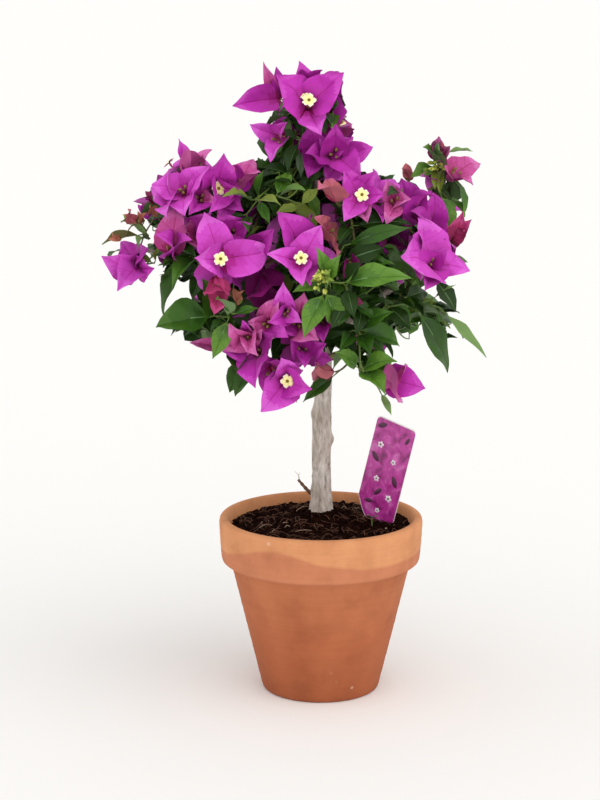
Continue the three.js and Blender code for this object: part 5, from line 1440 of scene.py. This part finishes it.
# soften the corners of the profile, but for the foot
for _ in range(6):
    rad[2:-2] = 0.25 * rad[1:-3] + 0.5 * rad[2:-2] + 0.25 * rad[3:-1]
    hgt[2:-2] = np.maximum(0, 0.25 * hgt[1:-3] + 0.5 * hgt[2:-2] + 0.25 * hgt[3:-1])
N_A = 160
ang = np.arange(N_A) * 2 * math.pi / N_A
rings = []
for k in range(1, len(u) - 1):
    r, h = rad[k], hgt[k]
    outer = u[k] < seg[22]
    turn = 0.05 * math.sin(h * 2.1) + 0.045 * math.sin(h * 5.3 + 1.0) + 0.05 * math.sin(h * 0.9 + 2)
    if h < 3 or h > 138.5:
        turn *= 0.2
    wob = 0.16 * np.sin(2 * ang + h * 0.01) + 0.08 * np.sin(5 * ang + h * 0.05)
    rr = r + (turn + wob) * (1 if outer else 0.5) * (1 if r > 46 else 0.2)
    rings.append(np.stack([rr * np.cos(ang), rr * np.sin(ang), np.full(N_A, h)], 1))
clay, nt, bsdf, co = patterned("terracotta_clay")
sep = add(nt, "ShaderNodeSeparateXYZ")
nt.links.new(co.outputs["Object"], sep.inputs["Vector"])


def mathn(nt, op, a, b=None, clamp=False):
    n = add(nt, "ShaderNodeMath", operation=op)
    n.use_clamp = clamp
    for i, v in enumerate((a, b)):
        if v is None:
            continue
        if isinstance(v, (int, float)):
            n.inputs[i].default_value = v
        else:
            nt.links.new(v, n.inputs[i])
    return n.outputs[0]


# damp clay ends in a wavy tide line round the collar
wave_map = mapped(nt, co, (17, 17, 3))
wave_n = add(nt, "ShaderNodeTexNoise", Scale=1.0, Detail=2.0, Roughness=0.45)
nt.links.new(wave_map.outputs["Vector"], wave_n.inputs["Vector"])
line = mathn(nt, "MULTIPLY", mathn(nt, "SUBTRACT", wave_n.outputs["Fac"], 0.5), 0.012)
off = mathn(nt, "MULTIPLY", mathn(nt, "ADD", sep.outputs["X"], 0.034), 26.0)
swell = mathn(nt, "EXPONENT", mathn(nt, "MULTIPLY", mathn(nt, "MULTIPLY", off, off), -1.0))
line = mathn(nt, "ADD", line, mathn(nt, "MULTIPLY", swell, 0.0155))
tide = mathn(nt, "SUBTRACT", sep.outputs["Z"], line)
dry_fac = mathn(nt, "MULTIPLY", mathn(nt, "SUBTRACT", tide, 0.1125), 380.0, clamp=True)
body = ramp(nt, mathn(nt, "DIVIDE", sep.outputs["Z"], 0.14), [(0.0, lin((166, 94, 60))), (0.35, lin((182, 106, 70))), (0.72, lin((194, 120, 82))), (0.76, lin((206, 134, 98)))])
dry_c = add(nt, "ShaderNodeRGB")
mixc = add(nt, "ShaderNodeMix", data_type="RGBA")
nt.links.new(dry_fac, mixc.inputs[0])
nt.links.new(body.outputs["Color"], mixc.inputs[6])
mixc.inputs[7].default_value = lin((222, 156, 110))
nt.nodes.remove(dry_c)
# mottling, turning marks and pale specks
mo = add(nt, "ShaderNodeTexNoise", Scale=38.0, Detail=7.0, Roughness=0.6)
nt.links.new(co.outputs["Object"], mo.inputs["Vector"])
mo_r = ramp(nt, mo.outputs["Fac"], [(0.3, lin((226, 218, 212))), (0.5, lin((246, 243, 240))), (0.7, lin((255, 255, 255)))])
m1 = add(nt, "ShaderNodeMix", data_type="RGBA", blend_type="MULTIPLY")
m1.inputs[0].default_value = 0.85
nt.links.new(mixc.outputs[2], m1.inputs[6])
nt.links.new(mo_r.outputs["Color"], m1.inputs[7])
ring_map = mapped(nt, co, (4, 4, 900))
ring_n = add(nt, "ShaderNodeTexNoise", Scale=1.0, Detail=3.0)
nt.links.new(ring_map.outputs["Vector"], ring_n.inputs["Vector"])
ring_r = ramp(nt, ring_n.outputs["Fac"], [(0.38, lin((240, 232, 226))), (0.62, lin((255, 255, 255)))])
m2 = add(nt, "ShaderNodeMix", data_type="RGBA", blend_type="MULTIPLY")
m2.inputs[0].default_value = 0.22
nt.links.new(m1.outputs[2], m2.inputs[6])
nt.links.new(ring_r.outputs["Color"], m2.inputs[7])
drip_map = mapped(nt, co, (34, 34, 8))
drip = add(nt, "ShaderNodeTexNoise", Scale=1.0, Detail=4.0, Roughness=0.55)
nt.links.new(drip_map.outputs["Vector"], drip.inputs["Vector"])
drip_r = ramp(nt, drip.outputs["Fac"], [(0.36, lin((226, 212, 200))), (0.62, lin((255, 255, 255)))])
m2b = add(nt, "ShaderNodeMix", data_type="RGBA", blend_type="MULTIPLY")
m2b.inputs[0].default_value = 0.28
nt.links.new(m2.outputs[2], m2b.inputs[6])
nt.links.new(drip_r.outputs["Color"], m2b.inputs[7])
m2 = m2b
sp = add(nt, "ShaderNodeTexVoronoi", Scale=85.0)
nt.links.new(co.outputs["Object"], sp.inputs["Vector"])
sp_fac = ramp(nt, sp.outputs["Distance"], [(0.0, (0.55, 0.55, 0.55, 1)), (0.10, (0.35, 0.35, 0.35, 1)), (0.16, (0, 0, 0, 1))])
sp2 = add(nt, "ShaderNodeTexNoise", Scale=14.0, Detail=1.0)
nt.links.new(co.outputs["Object"], sp2.inputs["Vector"])
sp_gate = mathn(nt, "MULTIPLY", mathn(nt, "SUBTRACT", sp2.outputs["Fac"], 0.58), 12.0, clamp=True)
m3 = add(nt, "ShaderNodeMix", data_type="RGBA")
nt.links.new(mathn(nt, "MULTIPLY", sp_fac.outputs["Color"], sp_gate), m3.inputs[0])
nt.links.new(m2.outputs[2], m3.inputs[6])
m3.inputs[7].default_value = lin((232, 196, 168))
nt.links.new(m3.outputs[2], bsdf.inputs["Base Color"])
ro = ramp(nt, mo.outputs["Fac"], [(0.3, (0.78, 0.78, 0.78, 1)), (0.7, (0.9, 0.9, 0.9, 1))])
nt.links.new(ro.outputs["Color"], bsdf.inputs["Roughness"])
bsdf.inputs["Specular IOR Level"].default_value = 0.22
gr = add(nt, "ShaderNodeTexNoise", Scale=520.0, Detail=5.0, Roughness=0.7)
nt.links.new(co.outputs["Object"], gr.inputs["Vector"])
bump_chain(nt, bsdf, [(ring_n.outputs["Fac"], 0.08, 0.0006), (gr.outputs["Fac"], 0.22, 0.0004), (mo.outputs["Fac"], 0.12, 0.001)])
pot_bag = Bag("pot_clay")
closed_grid(pot_bag, rings, clay)
pot = pot_bag.make("terracotta", sharp=None)
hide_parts("pot")

# ------------------------------------------------------------------ soil: a rough skin, crumbs and fibres
earth, nt, bsdf, co = patterned("soil_peat")
n1 = add(nt, "ShaderNodeTexNoise", Scale=230.0, Detail=8.0, Roughness=0.7)
nt.links.new(co.outputs["Object"], n1.inputs["Vector"])
r1 = ramp(nt, n1.outputs["Fac"], [(0.30, lin((10, 4, 2))), (0.52, lin((26, 10, 6))), (0.7, lin((52, 24, 13))), (0.84, lin((92, 50, 30)))])
nt.links.new(r1.outputs["Color"], bsdf.inputs["Base Color"])
bsdf.inputs["Roughness"].default_value = 1.0
bsdf.inputs["Specular IOR Level"].default_value = 0.03
bump_chain(nt, bsdf, [(n1.outputs["Fac"], 0.8, 0.0016)])


def soil_z(x, y):
    d2 = ((x - 2) ** 2 + (y - 20) ** 2) / 34.0**2
    return 131.3 + 8.0 * np.exp(-1.6 * d2)


soil_bag = Bag("soil_bed")
nr_, na_ = 76, 160
ang = np.arange(na_) * 2 * math.pi / na_
rings = []
for rr in (60.0, 69.5):
    rings.append(np.stack([rr * np.cos(ang), rr * np.sin(ang), np.full(na_, 112.0 if rr < 65 else 119.0)], 1))
radii_s = np.concatenate([[71.2], 71.2 * (1 - np.linspace(0, 1, nr_) ** 1.05)[1:-1], [0.6]])
for q, rr in enumerate(radii_s):
    x, y = rr * np.cos(ang), rr * np.sin(ang)
    zz = soil_z(x, y)
    zz = zz + 3.0 * (fbm(x * 0.16, y * 0.16, 0 * x, 3, 3) - 0.5) + 2.6 * (fbm(x * 0.55, y * 0.55, 0 * x, 8, 2) - 0.5) + 1.0 * (fbm(x * 1.6, y * 1.6, 0 * x, 13, 2) - 0.5)
    if q == 0:
        zz = zz - 1.2
    rings.append(np.stack([x, y, zz], 1))
closed_grid(soil_bag, rings, earth)
crumb_dark, crumb_mid = earth, None
crumb_mid, nt, bsdf, co = patterned("soil_crumb")
n1 = add(nt, "ShaderNodeTexNoise", Scale=420.0, Detail=5.0)
nt.links.new(co.outputs["Object"], n1.inputs["Vector"])
r1 = ramp(nt, n1.outputs["Fac"], [(0.35, lin((18, 7, 4))), (0.62, lin((42, 20, 12))), (0.82, lin((84, 48, 30)))])
nt.links.new(r1.outputs["Color"], bsdf.inputs["Base Color"])
bsdf.inputs["Roughness"].default_value = 1.0
bsdf.inputs["Specular IOR Level"].default_value = 0.05
bump_chain(nt, bsdf, [(n1.outputs["Fac"], 0.6, 0.0008)])
t_ = (1 + 5**0.5) / 2
ICO_V = np.array([(-1, t_, 0), (1, t_, 0), (-1, -t_, 0), (1, -t_, 0), (0, -1, t_), (0, 1, t_), (0, -1, -t_), (0, 1, -t_), (t_, 0, -1), (t_, 0, 1), (-t_, 0, -1), (-t_, 0, 1)], float) / math.hypot(1, t_)
ICO_F = np.array([(0, 11, 5), (0, 5, 1), (0, 1, 7), (0, 7, 10), (0, 10, 11), (1, 5, 9), (5, 11, 4), (11, 10, 2), (10, 7, 6), (7, 1, 8), (3, 9, 4), (3, 4, 2), (3, 2, 6), (3, 6, 8), (3, 8, 9), (4, 9, 5), (2, 4, 11), (6, 2, 10), (8, 6, 7), (9, 8, 1)])
edge_mid, sub_f = {}, []
sub_v = [tuple(v) for v in ICO_V]


def midpoint(a, b):
    key = (min(a, b), max(a, b))
    if key not in edge_mid:
        m = unit((np.array(sub_v[a]) + np.array(sub_v[b])) / 2)
        edge_mid[key] = len(sub_v)
        sub_v.append(tuple(m))
    return edge_mid[key]


for a, b, c in ICO_F:
    x, y, w = midpoint(a, b), midpoint(b, c), midpoint(c, a)
    sub_f += [(a, x, w), (b, y, x), (c, w, y), (x, y, w)]
SUB_V, SUB_F = np.array(sub_v), np.array(sub_f)
rnd = random.Random(77)
for i in range(1290):
    rr, aa = 70.6 * math.sqrt(rnd.random()), rnd.uniform(0, 6.283)
    x, y = rr * math.cos(aa), rr * math.sin(aa)
    if i >= 1200:
        # earth drawn up round the foot of the trunk
        lift_r = rnd.uniform(9.2, 12.5)
        x, y = 0.3 + lift_r * math.cos(aa), 18.4 + lift_r * math.sin(aa)
        rr = math.hypot(x, y)
    if math.hypot(x - 0.4, y - 18.2) < 9.0:
        continue
    size = rnd.choice((0.6, 0.7, 0.9, 0.9, 1.1, 1.4, 1.8)) * rnd.uniform(0.8, 1.2)
    size = min(size, 72.3 - rr) if rr > 69 else size
    if size < 0.4:
        continue
    shape_v, shape_f = (SUB_V, SUB_F) if size > 1.35 else (ICO_V, ICO_F)
    jig = np.array([rnd.uniform(0.7, 1.3) for _ in range(len(shape_v))])[:, None]
    v = shape_v * jig * size * np.array([rnd.uniform(0.8, 1.4), rnd.uniform(0.8, 1.4), rnd.uniform(0.6, 0.95)])
    v = v + np.array([x, y, float(soil_z(np.array(x), np.array(y))) + size * 0.15 + rnd.uniform(-0.6, 0.8)])
    m = soil_bag.slot(rnd.choice((earth, crumb_mid, crumb_mid)))
    soil_bag.put(v, None, None, None, shape_f, np.full(len(shape_f), m))
brown_fibre, nt, bsdf, co = patterned("brown_fibre")
n1 = add(nt, "ShaderNodeTexNoise", Scale=900.0, Detail=3.0)
nt.links.new(co.outputs["Object"], n1.inputs["Vector"])
r1 = ramp(nt, n1.outputs["Fac"], [(0.35, lin((58, 30, 18))), (0.65, lin((104, 64, 40)))])
nt.links.new(r1.outputs["Color"], bsdf.inputs["Base Color"])
bsdf.inputs["Roughness"].default_value = 0.85
bump_chain(nt, bsdf, [(n1.outputs["Fac"], 0.3, 0.0003)])
for i in range(260):
    rr, aa = 66 * math.sqrt(rnd.random()), rnd.uniform(0, 6.283)
    x, y = rr * math.cos(aa), rr * math.sin(aa)
    if math.hypot(x, y - 18.2) < 12:
        continue
    head = rnd.uniform(0, 6.283)
    length = rnd.uniform(5, 15)
    bend = rnd.uniform(-2.4, 2.4)
    n = 12
    pts = []
    px_, py_ = x, y
    hop = rnd.uniform(0.6, 2.6)
    for k in range(n):
        f = k / (n - 1)
        if math.hypot(px_, py_) > 69:
            break
        pts.append((px_, py_, float(soil_z(np.array(px_), np.array(py_))) + 0.8 + hop * math.sin(math.pi * f) + rnd.uniform(-0.15, 0.15)))
        hh = head + bend * f
        px_ += math.cos(hh) * length / n
        py_ += math.sin(hh) * length / n
    if len(pts) > 4:
        tube(soil_bag, pts, np.linspace(0.36, 0.16, len(pts)) * rnd.uniform(0.7, 1.3), pale if rnd.random() < 0.07 else brown_fibre, sides=5)
soil = soil_bag.make("soil", sharp=None)
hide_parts("soil")

# ------------------------------------------------------------------ plant tag
TAG_TOP = np.array([74.6, -6.8, 208.4])
across = unit([29.6, -18.9, -9.35])
up_t = np.array([0.2156, -0.139, 0.9665])
up_t = unit(up_t - across * np.dot(across, up_t))
front_t = np.cross(across, up_t)
if front_t[1] > 0:
    front_t = -front_t


def tag_point(s, t, lift=0.0):
    return TAG_TOP + across * s + up_t * t + front_t * lift


def corner(cx_, cy_, r, a0, a1, n=9):
    return [(cx_ + r * math.cos(math.radians(a0 + (a1 - a0) * k / (n - 1))), cy_ + r * math.sin(math.radians(a0 + (a1 - a0) * k / (n - 1)))) for k in range(n)]


outline = corner(-3.5, -3.5, 3.5, 0, 90) + corner(-32.5, -3.5, 3.5, 90, 180)
outline += [(-36, -20), (-36, -40), (-36, -60), (-36, -69), (-30, -79), (-22, -88), (-15.5, -97), (-11.5, -104.8)]
outline += [(-10, -106), (-8, -106), (-6.4, -104.8), (-4.2, -97), (-1.6, -90), (0, -84), (0, -60), (0, -40), (0, -20)]
card, nt, bsdf, co = patterned("tag_print")
uvn = add(nt, "ShaderNodeUVMap")
vo = add(nt, "ShaderNodeTexVoronoi", Scale=5.2, Randomness=0.9)
vo.voronoi_dimensions = "2D"
nt.links.new(uvn.outputs["UV"], vo.inputs["Vector"])
no = add(nt, "ShaderNodeTexNoise", Scale=4.5, Detail=4.0, Distortion=0.8)
nt.links.new(uvn.outputs["UV"], no.inputs["Vector"])
rr1 = ramp(nt, no.outputs["Fac"], [(0.26, lin((120, 18, 96))), (0.40, lin((186, 48, 152))), (0.55, lin((208, 74, 176))), (0.72, lin((230, 140, 208)))])
rr2 = ramp(nt, vo.outputs["Distance"], [(0.0, lin((255, 246, 252))), (0.45, lin((246, 222, 238))), (0.8, lin((216, 180, 208)))])
mx = add(nt, "ShaderNodeMix", data_type="RGBA", blend_type="MULTIPLY")
mx.inputs[0].default_value = 0.75
nt.links.new(rr1.outputs["Color"], mx.inputs[6])
nt.links.new(rr2.outputs["Color"], mx.inputs[7])
nt.links.new(mx.outputs[2], bsdf.inputs["Base Color"])
bsdf.inputs["Roughness"].default_value = 0.32
bsdf.inputs["Coat Weight"].default_value = 0.3
gn = add(nt, "ShaderNodeTexNoise", Scale=60.0, Detail=2.0)
nt.links.new(uvn.outputs["UV"], gn.inputs["Vector"])
bump_chain(nt, bsdf, [(gn.outputs["Fac"], 0.05, 0.0003)])
white, nt, bsdf, co = patterned("tag_white")
gn = add(nt, "ShaderNodeTexNoise", Scale=300.0, Detail=3.0)
nt.links.new(co.outputs["Object"], gn.inputs["Vector"])
r1 = ramp(nt, gn.outputs["Fac"], [(0.3, lin((236, 234, 232))), (0.7, lin((248, 247, 245)))])
nt.links.new(r1.outputs["Color"], bsdf.inputs["Base Color"])
bsdf.inputs["Roughness"].default_value = 0.4
bump_chain(nt, bsdf, [(gn.outputs["Fac"], 0.08, 0.0003)])
dark_leaf, nt, bsdf, co = patterned("tag_motif_dark")
gn = add(nt, "ShaderNodeTexNoise", Scale=400.0, Detail=3.0)
nt.links.new(co.outputs["Object"], gn.inputs["Vector"])
r1 = ramp(nt, gn.outputs["Fac"], [(0.3, lin((70, 26, 60))), (0.7, lin((96, 40, 80)))])
nt.links.new(r1.outputs["Color"], bsdf.inputs["Base Color"])
bsdf.inputs["Roughness"].default_value = 0.35
bump_chain(nt, bsdf, [(gn.outputs["Fac"], 0.05, 0.0002)])
motif_pale, nt, bsdf, co = patterned("tag_motif_pale")
gn = add(nt, "ShaderNodeTexNoise", Scale=500.0, Detail=3.0)
nt.links.new(co.outputs["Object"], gn.inputs["Vector"])
r1 = ramp(nt, gn.outputs["Fac"], [(0.3, lin((240, 226, 236))), (0.7, lin((252, 246, 250)))])
nt.links.new(r1.outputs["Color"], bsdf.inputs["Base Color"])
bsdf.inputs["Roughness"].default_value = 0.35
bump_chain(nt, bsdf, [(gn.outputs["Fac"], 0.05, 0.0002)])

tag_bag = Bag("tag_card")
TH = 0.7
n_o = len(outline)
P = np.array(outline)
# a slight bow across the card, defined here but not applied: the card stays flat
bow = lambda s, t: 0.9 * (1 - ((s + 18) / 18) ** 2) * 0.5
mid = np.array([-18.0, -45.0])
ring_f = np.array([tag_point(s, t, TH / 2) for s, t in P])
ring_b = np.array([tag_point(s, t, -TH / 2) for s, t in P])
inset = P + (mid - P) * 0.016
ring_f2 = np.array([tag_point(s, t, TH / 2 + 0.02) for s, t in inset])
ring_b2 = np.array([tag_point(s, t, -TH / 2 - 0.02) for s, t in inset])
verts = np.concatenate([ring_f, ring_b, ring_f2, ring_b2, tag_point(*mid, TH / 2 + 0.02)[None], tag_point(*mid, -TH / 2 - 0.02)[None]])
j = np.arange(n_o)
k = (j + 1) % n_o
sw, sc_ = tag_bag.slot(white), tag_bag.slot(card)
qs = np.concatenate([np.stack([j, j + n_o, k + n_o, k], 1), np.stack([j + 2 * n_o, j, k, k + 2 * n_o], 1), np.stack([j + n_o, j + 3 * n_o, k + 3 * n_o, k + n_o], 1)])
qm = np.full(3 * n_o, sw)
ts = np.concatenate([np.stack([np.full(n_o, 4 * n_o), j + 2 * n_o, k + 2 * n_o], 1), np.stack([np.full(n_o, 4 * n_o + 1), k + 3 * n_o, j + 3 * n_o], 1)])
tm = np.concatenate([np.full(n_o, sc_), np.full(n_o, sw)])
uvp = lambda q: np.stack([(q[:, 0] + 36) / 36, (q[:, 1] + 106) / 106 * 2.4], 1)
tuv = np.concatenate([np.stack([np.tile(uvp(mid[None]), (n_o, 1)), uvp(inset[j]), uvp(inset[k])], 1), np.zeros((n_o, 3, 2))])
e_a, e_b, e_c = verts[ts[0, 0]], verts[ts[0, 1]], verts[ts[0, 2]]
if np.dot(np.cross(e_b - e_a, e_c - e_a), front_t) < 0:
    qs, ts, tuv = qs[:, ::-1], ts[:, ::-1], tuv[:, ::-1]
tag_bag.put(verts, qs, qm, None, ts, tm, tuv)


def motif(s, t, shape, material, height=0.12):
    """a thin raised printed shape on the card's face; shape is a closed outline round (s, t)"""
    q = np.array([(s + a, t + b) for a, b in shape])
    m = len(q)
    a = np.array([tag_point(x, y, TH / 2 + 0.03) for x, y in q])
    b = np.array([tag_point(s + (x - s) * 0.94, t + (y - t) * 0.94, TH / 2 + 0.03 + height) for x, y in q])
    c = tag_point(s, t, TH / 2 + 0.05 + height)
    d = tag_point(s, t, TH / 2 + 0.02)
    jj = np.arange(m)
    kk = (jj + 1) % m
    sl = tag_bag.slot(material)
    quads = np.stack([jj, kk, kk + m, jj + m], 1)
    tris = np.concatenate([np.stack([np.full(m, 2 * m), jj + m, kk + m], 1), np.stack([np.full(m, 2 * m + 1), kk, jj], 1)])
    v = np.concatenate([a, b, c[None], d[None]])
    if np.dot(np.cross(v[tris[0, 1]] - v[tris[0, 0]], v[tris[0, 2]] - v[tris[0, 0]]), front_t) < 0:
        quads, tris = quads[:, ::-1], tris[:, ::-1]
    tag_bag.put(v, quads, np.full(m, sl), None, tris, np.full(2 * m, sl))


def petals(r, n, turn=0.0, depth=0.34):
    return [(r * (1 - depth * (0.5 - 0.5 * math.cos(n * (x * 6.283 / 60)))) * math.cos(x * 6.283 / 60 + turn), r * (1 - depth * (0.5 - 0.5 * math.cos(n * (x * 6.283 / 60)))) * math.sin(x * 6.283 / 60 + turn)) for x in range(60)]


def lens(length, width, turn):
    out_ = []
    for x in range(32):
        a = x * 6.283 / 32
        px_, py_ = math.cos(a) * length / 2, math.copysign(abs(math.sin(a)) ** 1.4, math.sin(a)) * width / 2
        out_.append((px_ * math.cos(turn) - py_ * math.sin(turn), px_ * math.sin(turn) + py_ * math.cos(turn)))
    return out_


for s, t, L_, w, a in ((-30, -6.5, 9, 4, 0.5), (-29.5, -33, 10, 4.4, -0.7), (-20, -60, 9, 4, 0.9), (-8, -47, 10, 4.6, 2.1), (-26, -70, 8, 3.6, 0.2), (-5.5, -11, 7, 3, 1.2)):
    motif(s, t, lens(L_, w, a), dark_leaf, 0.06)
for s, t, r, a in ((-27.5, -22, 2.9, 0.2), (-13, -32, 2.4, 0.9), (-24, -50, 2.7, 0.5), (-9.5, -62, 3.1, 0.0), (-16.5, -75, 2.3, 1.3)):
    motif(s, t, petals(r, 5, a), motif_pale, 0.10)
    motif(s, t, petals(r * 0.3, 5, a, 0.1), dark_leaf, 0.16)
tag = tag_bag.make("tag_card", sharp=0.9)
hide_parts("tag")

# ------------------------------------------------------------------ a seedling at the tag's foot, then everything joined
rnd = random.Random(41)
foot = np.array([40.0, -8.0, float(soil_z(np.array(40.0), np.array(-8.0))) + 1])
tube(twigs, bezier(foot, foot + [0.5, 0, 2], foot + [-0.5, 0, 4], foot + [0, -0.5, 7], 8), 0.5, mats["stem_green"], sides=7)
for az, el in ((-60, 35), (70, 25)):
    d = axis_of(az, el)
    blade(bag_for(leaves), foot + [0, -0.5, 6.5], foot + [0, -0.5, 6.5] + d * 6, UP, 3.2, "leaf", leaf_tints("L1"), rnd, res=1)

foliage_slots = {"leaves": "foliage_green", "bracts": "foliage_bracts"}
made = []
for row in (leaves, bracts):
    for b in row:
        made.append((b, foliage_slots[b.name.split("_")[0]]))
made += [(twigs, "young_bark"), (flowers, "foliage_bracts"), (buds, "foliage_bracts")]
for b, s in made:
    b.make(s)
green_nodes = [m + "_foliage" for m in FEEDERS if m in GREEN]
bract_nodes = [m + "_foliage" for m in FEEDERS if m not in GREEN]
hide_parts(*green_nodes)
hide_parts(*bract_nodes)
print("triangles", {b.name: b.faces for b, _ in made}, "total", sum(b.faces for b, _ in made) + trunk_bag.faces + boughs_bag.faces + pot_bag.faces + soil_bag.faces)
print("others", trunk_bag.faces, boughs_bag.faces, pot_bag.faces, soil_bag.faces)
